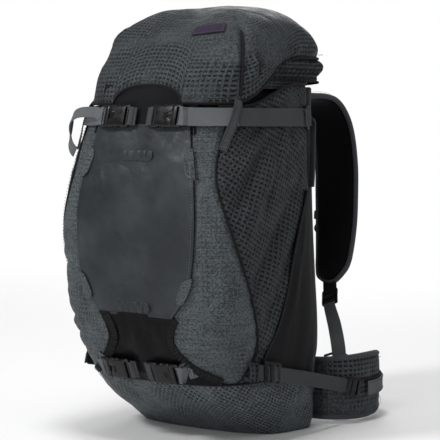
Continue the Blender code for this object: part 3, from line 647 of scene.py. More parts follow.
def panel_grid(loft, left, right, low, high, size=GRID):
    """Angles and t over a panel between two side edges and two ends, about size apart."""
    def value(bound, x):
        return bound(x) if callable(bound) else np.full_like(np.asarray(x, float), bound)

    middle = (value(left, 0.3) + value(right, 0.3)) / 2
    base, top = float(value(low, middle)), float(value(high, middle))
    mid_t = (base + top) / 2
    sides = np.linspace(float(value(left, mid_t)), float(value(right, mid_t)), 40)
    wide = np.linalg.norm(np.diff(loft.point(sides, mid_t), axis=0), axis=1).sum()
    tall = np.linalg.norm(np.diff(loft.point(middle, np.linspace(base, top, 40)), axis=0),
                          axis=1).sum()
    across, upward = max(int(wide / size), 4), max(int(tall / size), 3)
    u, v = np.meshgrid(np.linspace(0, 1, across + 1), np.linspace(0, 1, upward + 1))
    angle = np.full_like(u, float(middle))
    for _ in range(5):
        t = value(low, angle) + (value(high, angle) - value(low, angle)) * v
        angle = value(left, t) + (value(right, t) - value(left, t)) * u
    return angle, t


def edge_distances(rows):
    """For each point, the distances to the left, right, low and high edges, and u and v."""
    u, v = lengths(rows)
    return u - u[:, :1], u[:, -1:] - u, v - v[:1], v[-1:] - v, u, v


def seam_relief(rows, seed, seams=(1, 1, 1, 1), depth=0.0022):
    """Fabric drawn in at its sewn edges, with gathers running into them."""
    left, right, low, high, u, v = edge_distances(rows)
    relief = wrinkles(rows, seed)
    ends = zip((left, right, low, high), (v, v, u, u), seams)
    for k, (away, along, on) in enumerate(ends):
        relief = relief * (1 - 0.75 * np.exp(-away / 0.012))
        relief += on * (gathers(along, away, seed + 3 + k) - depth * np.exp(-(away / 0.0045)**2))
    return relief


def panel(name, loft, bounds, finish, level=0.0, relief=None, turn=0.0, size=GRID,
          thickness=FABRIC):
    """Fabric panel over a loft, raised by a relief that is worked out on its points."""
    angle, t = panel_grid(loft, *bounds, size)
    flat = loft.offset(angle, t, level)
    rise = relief(flat, angle, t) if relief else np.zeros_like(angle)
    rows = flat + loft.normal(angle, t) * rise[..., None]
    uv = turned(np.stack(lengths(flat), axis=-1), turn)
    return grid_piece(name, rows, finish, thickness, uv)


def sweep_mesh(path, normals, profile, closed_path=False):
    """Points, faces and UVs of a profile of (across, outward) points swept along a path."""
    path, normals = np.asarray(path, float), unit(np.asarray(normals, float))
    if closed_path:
        run = np.roll(path, -1, axis=0) - np.roll(path, 1, axis=0)
    else:
        run = np.gradient(path, axis=0)
    side = unit(np.cross(normals, run))
    out = unit(np.cross(run, side))
    profile = np.asarray(profile, float)
    if profile.ndim == 2:
        profile = np.repeat(profile[None], len(path), axis=0)
    rows = (path[:, None] - side[:, None] * profile[..., :1] + out[:, None] * profile[..., 1:])
    count, sides = rows.shape[:2]
    faces, marks = [], []
    last = count if closed_path else count - 1
    for i in range(last):
        for j in range(sides):
            k, n = (j + 1) % sides, (i + 1) % count
            faces.append((i * sides + j, i * sides + k, n * sides + k, n * sides + j))
            marks.append(((i, j), (i, j + 1), (i + 1, j + 1), (i + 1, j)))
    if not closed_path:
        faces.append(tuple(range(sides))[::-1])
        marks.append(tuple((0, j) for j in range(sides))[::-1])
        faces.append(tuple((count - 1) * sides + j for j in range(sides)))
        marks.append(tuple((count - 1, j) for j in range(sides)))
    steps = np.linalg.norm(np.diff(path, axis=0, append=path[:1]), axis=1)
    along = np.concatenate([[0.0], np.cumsum(steps)])
    ring = np.concatenate([profile[0], profile[0][:1]])
    girth = distances(ring)
    uv = [(along[i], girth[j]) for face in marks for i, j in face]
    return rows.reshape(-1, 3), faces, uv


def joined(name, shapes, finish):
    """One piece from several (points, faces, uv) shapes."""
    points, faces, uvs, base = [], [], [], 0
    for shape, face_list, uv in shapes:
        points.append(np.asarray(shape))
        faces += [tuple(i + base for i in face) for face in face_list]
        uvs += list(uv)
        base += len(shape)
    return new_piece(name, np.concatenate(points), faces, finish, uvs)


def ring_profile(width, height, sides=8):
    a = np.linspace(0, math.tau, sides, endpoint=False) + math.pi / sides
    return np.stack([np.cos(a) * width / 2, np.sin(a) * height / 2], axis=1)


def tape_profile(width, height, sides=5):
    """Flat tape with rounded selvedges that stand a little proud."""
    x = np.linspace(-0.5, 0.5, sides + 1) * width
    top = height / 2 * (1 + 0.12 * (np.abs(x) > 0.38 * width))
    upper = np.stack([x[::-1] * 0.995, top[::-1]], axis=1)
    lower = np.stack([x * 0.995, -top], axis=1)
    right = [(width / 2 + height * 0.22, 0.0)]
    left = [(-width / 2 - height * 0.22, 0.0)]
    return np.concatenate([upper, left, lower, right])


def stitch_shapes(path, normals, length=0.0026, gap=0.0014, radius=0.00042):
    """Thread dashes along a path: one small pointed body for each stitch."""
    path, normals = np.asarray(path, float), unit(np.asarray(normals, float))
    along = distances(path)
    starts = np.arange(0.0, along[-1] - length, length + gap)

    def at(values, s):
        return np.stack([np.interp(s, along, values[:, k]) for k in range(3)], axis=1)

    a, b, n = at(path, starts), at(path, starts + length), at(normals, starts + length / 2)
    run = unit(b - a)
    side = unit(np.cross(n, run)) * radius
    points, faces = [], []
    for k in range(len(starts)):
        base = len(points)
        points += [a[k], b[k]]
        for share in (0.25, 0.75):
            centre = a[k] + (b[k] - a[k]) * share + n[k] * radius * 0.9
            points += [centre + side[k] * 0.8, centre + n[k] * radius * 0.8,
                       centre - side[k] * 0.8, centre - n[k] * radius * 0.8]
        for j in range(4):
            i = (j + 1) % 4
            faces += [(base, base + 2 + i, base + 2 + j),
                      (base + 2 + j, base + 2 + i, base + 6 + i, base + 6 + j),
                      (base + 1, base + 6 + j, base + 6 + i)]
    uv = [(0.0, 0.0)] * sum(len(f) for f in faces)
    return np.array(points).reshape(-1, 3), faces, uv


def loft_line(loft, route, level, step=0.004):
    """Points and normals along a route of (angle, t) on a loft."""
    line = smooth_path([(a, t, 0) for a, t in route], 120)
    points = loft.point(line[:, 0], line[:, 1])
    long = np.linalg.norm(np.diff(points, axis=0), axis=1).sum()
    line = smooth_path([(a, t, 0) for a, t in route], max(int(long / step), 6))
    return (loft.offset(line[:, 0], line[:, 1], level),
            loft.normal(line[:, 0], line[:, 1]))


def stitched(loft, route, level, *spacing):
    """Stitches along a route of (angle, t) on a loft."""
    return stitch_shapes(*loft_line(loft, route, level), *spacing)


def run_round(loft, angle, t, level, profile, closed_path=False):
    """A profile swept along points of a loft that are given by their angles and t."""
    return sweep_mesh(loft.offset(angle, t, level), loft.normal(angle, t), profile, closed_path)


# ---------------------------------------------------------------- camera and light
def look_at(thing, place, target):
    thing.location = place
    thing.rotation_euler = (Vector(target) - Vector(place)).to_track_quat("-Z", "Y").to_euler()


def build_stage():
    camera = placed("camera", bpy.data.cameras.new("camera"))
    camera.data.lens = 126.9
    camera.data.clip_end = 50.0
    look_at(camera, (1.293, -1.780, 0.450), (0.0345, 0.025, 0.301))
    bpy.context.scene.camera = camera
    floor = new_piece("floor", [(-9, -9, 0), (9, -9, 0), (9, 9, 0), (-9, 9, 0)], [(0, 1, 2, 3)],
                      "floor", [(0, 0), (1, 0), (1, 1), (0, 1)])
    world = bpy.data.worlds.new("studio")
    world.use_nodes = True
    sky = world.node_tree.nodes["Background"]
    sky.inputs["Color"].default_value = (1.0, 1.0, 1.0, 1.0)
    path = world.node_tree.nodes.new("ShaderNodeLightPath")
    strength = world.node_tree.nodes.new("ShaderNodeMapRange")
    world.node_tree.links.new(path.outputs["Is Camera Ray"], strength.inputs["Value"])
    strength.inputs["To Min"].default_value = AMBIENT
    strength.inputs["To Max"].default_value = 1.0
    world.node_tree.links.new(strength.outputs["Result"], sky.inputs["Strength"])
    bpy.context.scene.world = world
    bpy.context.scene.view_settings.view_transform = "Standard"
    softboxes = [("key", (-1.0, -2.0, 2.3), 0.6, 40.0), ("top", (0.1, -0.2, 2.8), 0.7, 30.0),
                 ("front", (0.3, -2.8, 0.5), 0.9, 17.0), ("rim", (2.2, 1.2, 1.9), 0.9, 7.0),
                 ("back", (-1.2, 2.4, 1.6), 1.3, 26.0)]
    for name, place, size, power in softboxes:
        light = bpy.data.lights.new(name, "AREA")
        light.shape = "DISK"
        light.size = size
        light.energy = power
        look_at(placed(name, light), place, (0.0, 0.05, 0.30))


# ---------------------------------------------------------------- the bag
def mirrored_bounds(sign, left, right):
    """Side edges of a right-hand panel, or of its mirror image on the left."""
    if sign > 0:
        return left, right

    def flip(bound):
        if callable(bound):
            return lambda z: -180.0 - bound(z)
        return -180.0 - bound

    return flip(right), flip(left)


def spanned(edge):
    """Side edges of a panel that crosses the front from one side to the other."""
    return (lambda z: -180 - edge(z)), edge


def side_folds(sign):
    """Slack folds that run down and forward over a side panel."""
    valleys = [([(-2, 0.430), (-14, 0.390), (-26, 0.345), (-35, 0.300)], 0.010, -0.0070),
               ([(22, 0.370), (4, 0.305), (-14, 0.240), (-22, 0.205)], 0.010, -0.0068),
               ([(6, 0.440), (2, 0.400), (-6, 0.352), (-10, 0.320)], 0.007, -0.0040),
               ([(18, 0.445), (14, 0.425), (16, 0.400)], 0.005, -0.0030),
               ([(-8, 0.462), (-12, 0.438), (-24, 0.418)], 0.006, -0.0036),
               ([(24, 0.310), (12, 0.262), (-4, 0.196), (-14, 0.160)], 0.007, -0.0036),
               ([(-22, 0.250), (-10, 0.200), (-2, 0.150)], 0.008, -0.0028)]
    ridges = [([(26, 0.345), (20, 0.270), (12, 0.200), (2, 0.130)], 0.007, 0.0030),
              ([(12, 0.425), (-2, 0.380), (-16, 0.340), (-28, 0.268)], 0.012, 0.0062),
              ([(-12, 0.418), (-20, 0.396), (-30, 0.360)], 0.007, 0.0034),
              ([(10, 0.300), (-4, 0.240), (-14, 0.180)], 0.010, 0.0034)]
    return [(mirrored(route, sign), width, depth)
            for route, width, depth in valleys + ridges]


def build_panels():
    seam_dip = 0.0024

    def front_relief(rows, angle, z):
        rise = seam_relief(rows, 11, depth=seam_dip)
        tight = noise(rows / (0.030, 0.030, 0.0085), 1.0, 17)
        rise += 0.0011 * tight * (0.4 + 0.6 * ramp(0.25 - z, -0.03, 0.03))
        for sign in (1, -1):
            for route, width, depth in FRONT_FOLDS:
                rise += crease(rows, body, mirrored(route, sign), width, depth)
        near = right_hand(angle)
        edge = np.where(z > 0.180, shield_edge(z), lower_edge(z))
        covered = np.maximum(1 - ramp(near, edge - 1.0, edge + 2.0),
                             ramp(z, 0.416, 0.426) * (1 - ramp(near, -52.0, -46.0)))
        return rise * (1 - covered) - 0.0015 * covered

    front = panel("front_panel_fabric", body, (*spanned(front_edge), BASE_TOP, body_top),
                  "front_ripstop", relief=front_relief)
    wear(front, "pack", "front_panel")
    for sign, side in SIDES:
        folds = side_folds(sign)

        def side_relief(rows, angle, z):
            rise = seam_relief(rows, 23 + sign, depth=seam_dip) + 0.0012 * noise(
                rows * np.array([1, 1, 0.45]), 0.016, 27)
            rise += sum(crease(rows, body, *fold) for fold in folds)
            under = ramp(right_hand(angle), stretch_edge(z) - 1.0, stretch_edge(z) + 3.0)
            under = under * (1 - ramp(z, 0.330, 0.346))
            return rise * (1 - under) - 0.0026 * under

        left, right = mirrored_bounds(sign, front_edge, REAR_SEAM + 3.0)
        cloth = panel(f"side_panel_fabric_{side}", body, (left, right, BASE_TOP, body_top),
                      "shaded_side_ripstop", relief=side_relief, turn=sign * 33.0)
        wear(cloth, "pack", f"side_panel_{side}")

        def stretch_relief(rows, angle, z):
            x, y, height = np.moveaxis(rows, -1, 0)
            slack = 0.5 * crease(rows, body, *folds[7])
            return slack + 0.0014 * ripple(31, height / 0.16, y / 0.018, x) + gathers(
                y, height - BASE_TOP, 5, 0.0016, 0.009, 0.03)

        left, right = mirrored_bounds(sign, stretch_edge, REAR_SEAM - 0.5)
        cloth = panel(f"side_stretch_panel_{side}", body, (left, right, 0.088, STRETCH_TOP),
                      "stretch_fabric", 0.0016, stretch_relief, thickness=0.0012)
        wear(cloth, "pack")


def build_base():
    """Tub that closes the bottom, with its pattern on the bias, and the flat underside."""
    angles = np.linspace(0, 360, 300, endpoint=False)
    heights = np.concatenate([np.linspace(BASE_TOP, 0.012, 26), [0.007, 0.003, 0.0006]])
    angle, z = np.meshgrid(angles, heights)
    flat = body.point(angle, z)
    drop = BASE_TOP - z
    along = np.radians(angle) * 0.13
    rise = (wrinkles(flat, 41) * ramp(z, 0.0, 0.03) * 0.8
            + gathers(along, drop, 42, 0.0016, 0.012, 0.022)
            - 0.0026 * np.exp(-(drop / 0.0045)**2))
    rise += sum(crease(flat, body, route, 0.008, depth) for route, depth in (
        ([(-28, 0.082), (-24, 0.060), (-16, 0.042)], -0.0030),
        ([(-70, 0.080), (-58, 0.062), (-40, 0.052)], 0.0020),
        ([(-152, 0.082), (-156, 0.060), (-164, 0.042)], -0.0030)))
    rows = flat + body.normal(angle, z) * rise[..., None]
    rows[..., 2] = np.maximum(rows[..., 2], 0.0004)
    middle = np.array([0.0, 0.060, 0.0004])
    floor_rows = [middle + (rows[-1] - middle) * s * np.array([1, 1, 0]) for s in
                  (0.985, 0.9, 0.7, 0.45, 0.2, 0.06)]
    for row, lift in zip(floor_rows, (0.0, 0.0003, 0.0008, 0.0012, 0.0012, 0.0012)):
        row[:, 2] = 0.0003 + lift
    rows = np.concatenate([rows, floor_rows])[:, ::-1]
    wrapped = np.concatenate([rows, rows[:, :1]], axis=1)
    u, v = lengths(wrapped)
    u = np.repeat(u[:1], len(u), axis=0)
    uv = turned(np.stack([u, v], axis=-1), 38.0)
    base = grid_piece("base_fabric", rows, "lit_base_ripstop", uv=uv, closed=True, crown=True)
    wear(base, "pack", "base_panel")


def build_shields():
    """Coated front shield, the glossy lower shield and the black yoke over the bag's mouth."""
    def shield_relief(rows, angle, z):
        left, right, low, high, u, v = edge_distances(rows)
        rise = 0.0016 * noise(rows * np.array([1.0, 1.0, 0.55]), 0.060, 51)
        rise += 0.0006 * noise(rows * np.array([1.0, 1.0, 0.4]), 0.022, 52)
        for edge in ((v, left, 53, 0.0011, 0.016, 0.022), (v, right, 54, 0.0011, 0.016, 0.022),
                     (u, low, 55, 0.0016, 0.018, 0.032), (u, high, 56, 0.0010, 0.014, 0.02)):
            rise += gathers(*edge)
        hem = sum(np.exp(-((away - 0.0062) / 0.0011)**2) for away in (left, right, low, high))
        rise += sum(crease(rows, body, *fold) for fold in SHIELD_FOLDS)
        return np.maximum(rise, -0.0012) - 0.0005 * hem

    shield = panel("front_shield_fabric", body, (*spanned(shield_edge), 0.178, 0.437),
                   "coated_fabric", 0.0026, shield_relief, thickness=0.0012, size=0.0024)
    wear(shield, "pack", "front_shield")

    def lower_relief(rows, angle, z):
        left, right, low, high, u, v = edge_distances(rows)
        stretch = rows * np.array([1.0, 1.0, 0.3])
        rise = 0.0022 * noise(stretch, 0.030, 61) + 0.0007 * noise(stretch, 0.012, 62)
        return rise * ramp(low, 0, 0.02) + gathers(u, low, 63, 0.0012, 0.012, 0.02)

    lower = panel("lower_shield_fabric", body, (*spanned(lower_edge), BASE_TOP + 0.001, 0.181),
                  "hypalon", 0.0018, lower_relief, thickness=0.0010)
    wear(lower, "pack", "lower_shield")

    def yoke_relief(rows, angle, z):
        slack = rows * np.array([0.6, 1.0, 1.4])
        return 0.0024 * noise(slack, 0.030, 71) + 0.0008 * noise(slack, 0.012, 72)

    yoke = panel("mouth_yoke", body, (-131.0, -49.0, 0.424, 0.492), "stretch_fabric", 0.0009,
                 yoke_relief, thickness=0.0010)
    wear(yoke, "pack")


def scallop(name, sign, z, half_height, reach):
    """Half-round ripstop tab that laps from the front panel over the shield's edge."""
    rows = []
    for j in np.linspace(-1, 1, 25):
        height = z + j * half_height
        edge = float(shield_edge(height)) + 1.2
        bulge = (1 - abs(j)**3.2) ** 0.5
        inner = float(body.step(edge, height, -0.003 - reach * bulge, 0)[0])
        angles = np.array([on_side(sign, a) for a in np.linspace(inner, edge, 14)])
        rows.append(body.offset(angles, height, 0.0046))
    rows = np.array(rows)
    if sign < 0:
        rows = rows[:, ::-1]
    wear(grid_piece(name, rows, "front_ripstop", 0.0012), "pack")
    return [rows[0], rows[-1], rows[:, 0] if sign > 0 else rows[:, -1]]


def build_lash_tab(name, z, node):
    """Stadium-shaped tab, bar-tacked in three places, for a lash cord."""
    half, rise = 0.0265, 0.0076
    angles = np.linspace(-104.0, -76.0, 45)
    rows = []
    for v in np.linspace(-1, 1, 17):
        row = []
        for a in angles:
            x = (a + 90.0) / 14.0 * half
            limit = rise if abs(x) < half - rise else math.sqrt(
                max(rise**2 - (abs(x) - half + rise)**2, 0.0))
            height = z + v * limit
            crown = 0.0018 * math.sqrt(max(1 - v * v, 0.0))
            pinch = sum(math.exp(-((x - c) / 0.0011)**2) for c in (-0.016, -0.0055, 0.0055, 0.016))
            row.append(body.offset(a, height, 0.0040 + crown - 0.0013 * min(pinch, 1.0)))
        rows.append(row)
    tab = grid_piece(name, np.array(rows), "coated_fabric", 0.0012)
    wear(tab, "pack", node)


def build_seams():
    """Piping, bound edges and stitch lines on the bag."""
    pipes, dashes, dark = [], [], []

    def both(route):
        return [mirrored(route, sign) for sign in (1, -1)]

    front_seam = [(float(front_edge(z)), z) for z in np.linspace(0.087, 0.455, 26)]
    rear_seam = [(REAR_SEAM, z) for z in np.linspace(0.087, 0.488, 20)]
    stretch = [(float(stretch_edge(z)), z) for z in np.linspace(0.090, STRETCH_TOP, 20)]
    for route in both(front_seam) + both(rear_seam):
        path, normals = loft_line(body, route, -0.0004)
        pipes.append(sweep_mesh(path, normals, ring_profile(0.0030, 0.0026)))
    for route in both(stretch):
        path, normals = loft_line(body, route, 0.0024)
        pipes.append(sweep_mesh(path, normals, tape_profile(0.0042, 0.0014)))
    ring = np.linspace(0, 360, 240, endpoint=False)
    pipes.append(run_round(body, ring, BASE_TOP, -0.0002, ring_profile(0.0032, 0.0028), True))
    for start, end in ((-38.0, 35.0), (-142.0, -215.0)):
        a = np.linspace(start, end, 60)
        pipes.append(run_round(body, a, body_top(a), 0.0004, ring_profile(0.0036, 0.0040)))
    for inset, level in ((1.1, 0.0042), (-1.5, 0.0008)):
        for route in both([(float(shield_edge(z)) - inset, z)
                           for z in np.linspace(0.181, 0.433, 20)]):
            dashes.append(stitched(body, route, level))
    for z in (0.1815, 0.4335):
        span = float(shield_edge(z)) - 1.0
        route = [(a, z) for a in np.linspace(-180 - span, span, 16)]
        dark.append(stitched(body, route, 0.0040))
    for shift in (-2.0, 2.0):
        for route in both([(a + shift, z) for a, z in front_seam[:-1]]):
            dark.append(stitched(body, route, 0.0010, 0.0028, 0.0020))
    for drop in (0.0045, 0.0075):
        z = BASE_TOP - drop
        for lines, start, end, count in ((dashes, -150, -30, 90), (dark, -30.0, 35.0, 60),
                                         (dark, -150.0, -215.0, 60)):
            a = np.linspace(start, end, count)
            lines.append(stitch_shapes(body.offset(a, z, 0.0006), body.normal(a, z)))
    lower = [(float(lower_edge(z)) - 1.5, z) for z in np.linspace(0.092, 0.176, 14)]
    for route in both(lower):
        dark.append(stitched(body, route, 0.0034))
        band, normals = loft_line(body, [(a + 3.4, z) for a, z in route], 0.0022, 0.0011)
        band = band + normals * 0.0011 * np.sin(np.arange(len(band)) * 1.35)[:, None]
        pipes.append(sweep_mesh(band, normals, tape_profile(0.0100, 0.0022)))
    for sign, side in SIDES:
        for z, half, name in ((0.384, 0.0200, "upper"), (0.216, 0.0180, "lower")):
            for line in scallop(f"shield_scallop_{name}_{side}", sign, z, half, 0.0125):
                shift = line - line.mean(axis=0)
                inward = line - unit(shift) * 0.0016
                outward = unit(line - np.array([0.0, 0.0, z]))
                dashes.append(stitch_shapes(inward + outward * 0.0003, outward, 0.0022, 0.0014))
    sewn("seam_piping", pipes, "piping", "pack")
    sewn("light_stitching", dashes, "thread", "pack")
    sewn("dark_stitching", dark, "dark_thread", "pack")
    build_lash_tab("lash_tab_upper_fabric", 0.395, "lash_tab_upper")
    build_lash_tab("lash_tab_lower_fabric", 0.190, "lash_tab_lower")


def build_collar():
    """Gathered cuff inside the bag's mouth, with the channel for its drawcord."""
    angles = np.linspace(0, 360, 300, endpoint=False)
    heights = np.linspace(0.436, 0.507, 24)
    angle, z = np.meshgrid(angles, heights)
    along = np.radians(angle) * 0.12
    rise = z - heights[0]
    pleats = 0.0022 * ripple(81, along / 0.0075, z / 0.09)
    channel = 0.0022 * np.exp(-((z - 0.501) / 0.0042)**2)
    level = -0.0064 - 0.16 * rise + pleats * ramp(rise, 0.0, 0.05) + channel
    rows = body.offset(angle, z, level)
    collar = grid_piece("collar_fabric", rows, "black_fabric", 0.0010, closed=True)
    wear(collar, "pack", "collar")


# ---------------------------------------------------------------- the lid
LID_SEAM = [(-32, 0.35), (-33, 1.2), (-35, 2.2), (-38, 3.2), (-43, 4.2)]
LID_FOLDS = [(LID_SEAM, 0.0030, -0.0066),
             ([(-28, 0.7), (-26, 1.6), (-30, 2.6), (-36, 3.6)], 0.0045, 0.0050),
             ([(-22, 0.8), (-22, 1.5), (-29, 2.4), (-36, 3.3)], 0.0038, -0.0050),
             ([(4, 1.9), (8, 2.3), (7, 2.7)], 0.004, -0.0022)]


def build_lid():
    angles = np.linspace(0, 360, 280, endpoint=False)
    edge = lid_edge(angles)
    steps = np.concatenate([np.linspace(0, 0.9, 58), np.linspace(0.915, 1.0, 9)])
    angle, _ = np.meshgrid(angles, steps)
    crown_t = len(LID) - 1
    t = edge + (crown_t - edge) * steps[:, None]
    flat = lid.point(angle, t)
    up = np.concatenate([np.zeros((1, len(angles))), np.cumsum(
        np.linalg.norm(np.diff(flat, axis=0), axis=-1), axis=0)])
    along = np.radians(angle) * 0.13
    near = right_hand(angle)
    sides = ramp(near, -30.0, 5.0)
    rise = wrinkles(flat, 91) * (1 - 0.6 * np.exp(-up / 0.01)) * ramp(crown_t - t, 0.0, 0.8)
    rise += 0.0022 * noise(flat * np.array([1, 1, 0.5]), 0.045, 93) * sides
    rise += gathers(along, up, 92, 0.0026, 0.010, 0.026) * (0.35 + 0.65 * sides)
    for sign in (1, -1):
        for route, width, depth in LID_FOLDS:
            rise += crease(flat, lid, mirrored(route, sign), width, depth)
    rise = np.clip(rise, -0.0070 + 0.0045 * np.exp(-up / 0.012), 0.0052)
    rise -= 0.0075 * np.exp(-(up / 0.012)**2) * ramp(near, -22.0, 0.0)
    rise += 0.0085 * np.exp(-((near + 42) / 26)**2) * ramp(t, 1.8, 3.2) * (1 - ramp(t, 4.6, 6.2))
    rows = flat + lid.normal(angle, t) * rise[..., None]
    front = near < np.interp(t, [h for _, h in LID_SEAM], [a for a, _ in LID_SEAM])
    uv = np.stack([np.where(front | (near > 50), rows[..., 0], rows[..., 1]), up], axis=-1)
    uv = np.concatenate([uv, uv[:, :1]], axis=1)
    shell = grid_piece("lid_fabric", rows, "ripstop", uv=uv, closed=True, crown=True)
    wear(shell, "lid", "lid_shell")
    drawn = -0.0006 - 0.0070 * ramp(right_hand(angles), -22.0, 0.0)
    binding = run_round(lid, angles, edge, drawn, ring_profile(0.0042, 0.0046), True)
    sewn("lid_edge_binding", [binding], "piping", "lid")
    build_lid_skirt(angles)
    build_hinge_flap()
    build_lid_trim(flat, rise)


def build_hinge_flap():
    """Soft fold of cloth that joins the lid to the bag along its hinge."""
    x = np.linspace(-0.122, 0.122, 90)
    rows = []
    for turn in np.linspace(0.15, 2 * math.pi - 0.15, 26):
        swell = 0.0042 + 0.0005 * ripple(99, x / 0.014, 0.0, turn)
        swell = swell * (1 - 0.55 * (np.abs(x) / 0.122)**10)
        rows.append(np.stack([x, 0.1490 - 0.06 * x**2 + swell * math.sin(turn),
                              0.4968 + swell * math.cos(turn)], axis=-1))
    fold = grid_piece("lid_hinge_fold", np.array(rows), "black_fabric", 0.0010)
    wear(fold, "pack")


def build_lid_skirt(angles):
    """Elastic skirt gathered under the lid's side and back edges, and the pocket floor."""
    angles = np.linspace(0, 360, 600, endpoint=False)
    t, angle = np.meshgrid(np.linspace(0.98, 2.15, 26), angles, indexing="ij")
    along = np.radians(angle) * 0.13
    drift = ripple(95, along / 0.016, t * 0.7)
    pleats = 0.55 * np.sin(along * math.tau / 0.0092 + 3.0 * drift) + 0.45 * drift
    puff = np.sin(np.pi * np.clip((t - 1.04) / 1.00, 0, 1))
    level = (-0.0105 + (0.0074 + 0.0052 * pleats) * puff + 0.0010 * pleats
             - 0.0030 * ramp(t, 1.96, 2.06))
    rows = lid.offset(angle, t, level)
    tuck = lid.offset(angles, 0.98, level[0])
    mouth = body.offset(angles, MOUTH, -0.0048)
    folds = 0.0016 * ripple(96, along[0] / 0.0075)
    inner = [mouth + (tuck - mouth) * s + np.array([0, 0, 1.0]) * (
        (0.004 + folds) * math.sin(math.pi * s))[:, None] for s in np.linspace(0, 0.93, 10)]
    skirt = grid_piece("lid_skirt_fabric", np.concatenate([inner, rows]), "shaded_side_ripstop", 0.0010,
                       closed=True)
    wear(skirt, "lid", "lid_skirt")
    cord = -0.0100 + 0.0010 * ripple(98, along[0] / 0.004)
    elastic = run_round(lid, angles, 1.02, cord, ring_profile(0.0085, 0.0052), True)
    sewn("lid_skirt_elastic", [elastic], "piping", "lid")
    spread = np.linspace(1.0, 0.05, 14)
    rim = lid.offset(angles, 2.22, -0.0078)
    centre = rim.mean(axis=0)
    rows = np.array([centre + (rim - centre) * s for s in spread])
    rows[..., 2] -= 0.0020 * (1 - spread[:, None]**2) + 0.0008 * noise(rows, 0.04, 97)
    rows = rows[:, ::-1]
    floor = grid_piece("lid_floor_fabric", rows, "black_fabric", 0.0010, closed=True, crown=True)
    wear(floor, "lid", "lid_floor")


def build_lid_trim(flat, rise):
    """Label, zip with its tape and teeth, and the stitch lines of the lid."""
    def cloth_rise(points):
        weight = np.exp(-(np.linalg.norm(points[:, None] - flat.reshape(1, -1, 3), axis=-1)
                          / 0.006)**2)
        return (weight * rise.reshape(1, -1)).sum(axis=1) / weight.sum(axis=1)

    def label_relief(points, angle, t):
        return cloth_rise(points.reshape(-1, 3)).reshape(angle.shape)

    label = panel("lid_label_tag", lid, (-70.0, -47.0, 3.06, 3.62), "label", 0.0022,
                  label_relief, thickness=0.0008, size=0.0022)
    wear(label, "lid", "lid_label")
    light, dark = [], []
    for corners in (((-69.0, 3.11), (-48.0, 3.11)), ((-69.0, 3.57), (-48.0, 3.57)),
                    ((-69.0, 3.11), (-69.0, 3.57)), ((-48.0, 3.11), (-48.0, 3.57))):
        path, normals = loft_line(lid, [corners[0], tuple(np.mean(corners, axis=0)), corners[1]],
                                  0.0023)
        path = path + normals * cloth_rise(path)[:, None]
        light.append(stitch_shapes(path, normals, 0.0016, 0.0008, 0.0003))
    ring = np.linspace(-145, 325, 420)[:-1]
    above = lid_edge(ring) + 0.16
    dark.append(stitch_shapes(lid.offset(ring, above, 0.0004), lid.normal(ring, above), 0.0028,
                              0.0018))
    for sign, side in SIDES:
        for shift in (-2.2, 2.2):
            path, normals = loft_line(lid, mirrored(LID_SEAM[:-1], sign, shift), 0.0004)
            path = path + normals * cloth_rise(path)[:, None]
            dark.append(stitch_shapes(path, normals, 0.0028, 0.0018))
        path, normals = loft_line(lid, mirrored(LID_SEAM[:-1], sign), 0.0010)
        path = path + normals * cloth_rise(path)[:, None]
        pipe = sweep_mesh(path, normals, ring_profile(0.0030, 0.0034))
        sewn(f"lid_seam_piping_{side}", [pipe], "piping", "lid")
    sewn("lid_label_stitching", light, "thread", "lid")
    sewn("lid_stitching", dark, "dark_thread", "lid")
    build_zip()


ZIP_T = 2.55


def build_zip():
    """Coil zip across the back of the lid, its slider and the pull that hangs from it."""
    a = np.linspace(50.0, 130.0, 110)
    tape = run_round(lid, a, ZIP_T, 0.0010, tape_profile(0.026, 0.0012, 7))
    sewn("lid_zip_tape", [tape], "black_fabric", "lid", "lid_zip")
    teeth = []
    for k, angle in enumerate(np.linspace(50.5, 129.5, 230)):
        shift = 0.0009 if k % 2 else -0.0009
        place = lid.offset(angle, ZIP_T, 0.0022)
        normal = lid.normal(angle, ZIP_T)
        around = lid.point(angle + 0.2, ZIP_T) - lid.point(angle - 0.2, ZIP_T)
        rise = unit(np.cross(normal, around))
        path = [place + rise * (shift - 0.0016), place + rise * shift,
                place + rise * (shift + 0.0016)]
        teeth.append(sweep_mesh(path, [normal] * 3, ring_profile(0.0009, 0.0010, 6)))
    sewn("lid_zip_teeth", teeth, "moulded_plastic", "lid")
    build_zip_slider()


# ---------------------------------------------------------------- hardware
def moved(mesh, rotation, origin):
    mesh.transform(Matrix.Translation(Vector(origin)) @ rotation)
    return mesh


def frame_of(x_axis, z_axis):
    """Rotation with its X along x_axis and its Z close to z_axis."""
    x = Vector(x_axis).normalized()
    y = Vector(z_axis).cross(x).normalized()
    return Matrix((x, y, x.cross(y))).transposed().to_4x4()


def block_mesh(size, centre=(0, 0, 0), radius=0.0008, segments=2):
    """Box with rounded edges."""
    bm = bmesh.new()
    bmesh.ops.create_cube(bm, size=1.0, matrix=Matrix.Translation(centre)
                          @ Matrix.Diagonal((*size, 1.0)))
    if radius:
        bmesh.ops.bevel(bm, geom=bm.edges[:], offset=radius, segments=segments, affect="EDGES",
                        profile=0.5)
    mesh = bpy.data.meshes.new("block")
    bm.to_mesh(mesh)
    bm.free()
    return mesh


def hull_mesh(stations, power=4.0, sides=32):
    """Rounded body through sections of (x, half width, bottom, top)."""
    a = np.linspace(0, math.tau, sides, endpoint=False) + math.pi / sides
    c, s = np.cos(a), np.sin(a)
    radius = (np.abs(c)**power + np.abs(s)**power)**(-1 / power)
    points = [(x, half * radius[k] * c[k], (low + high) / 2 + (high - low) / 2 * radius[k] * s[k])
              for x, half, low, high in stations for k in range(sides)]
    return plain_mesh("hull", points, tube_faces(len(stations), sides))


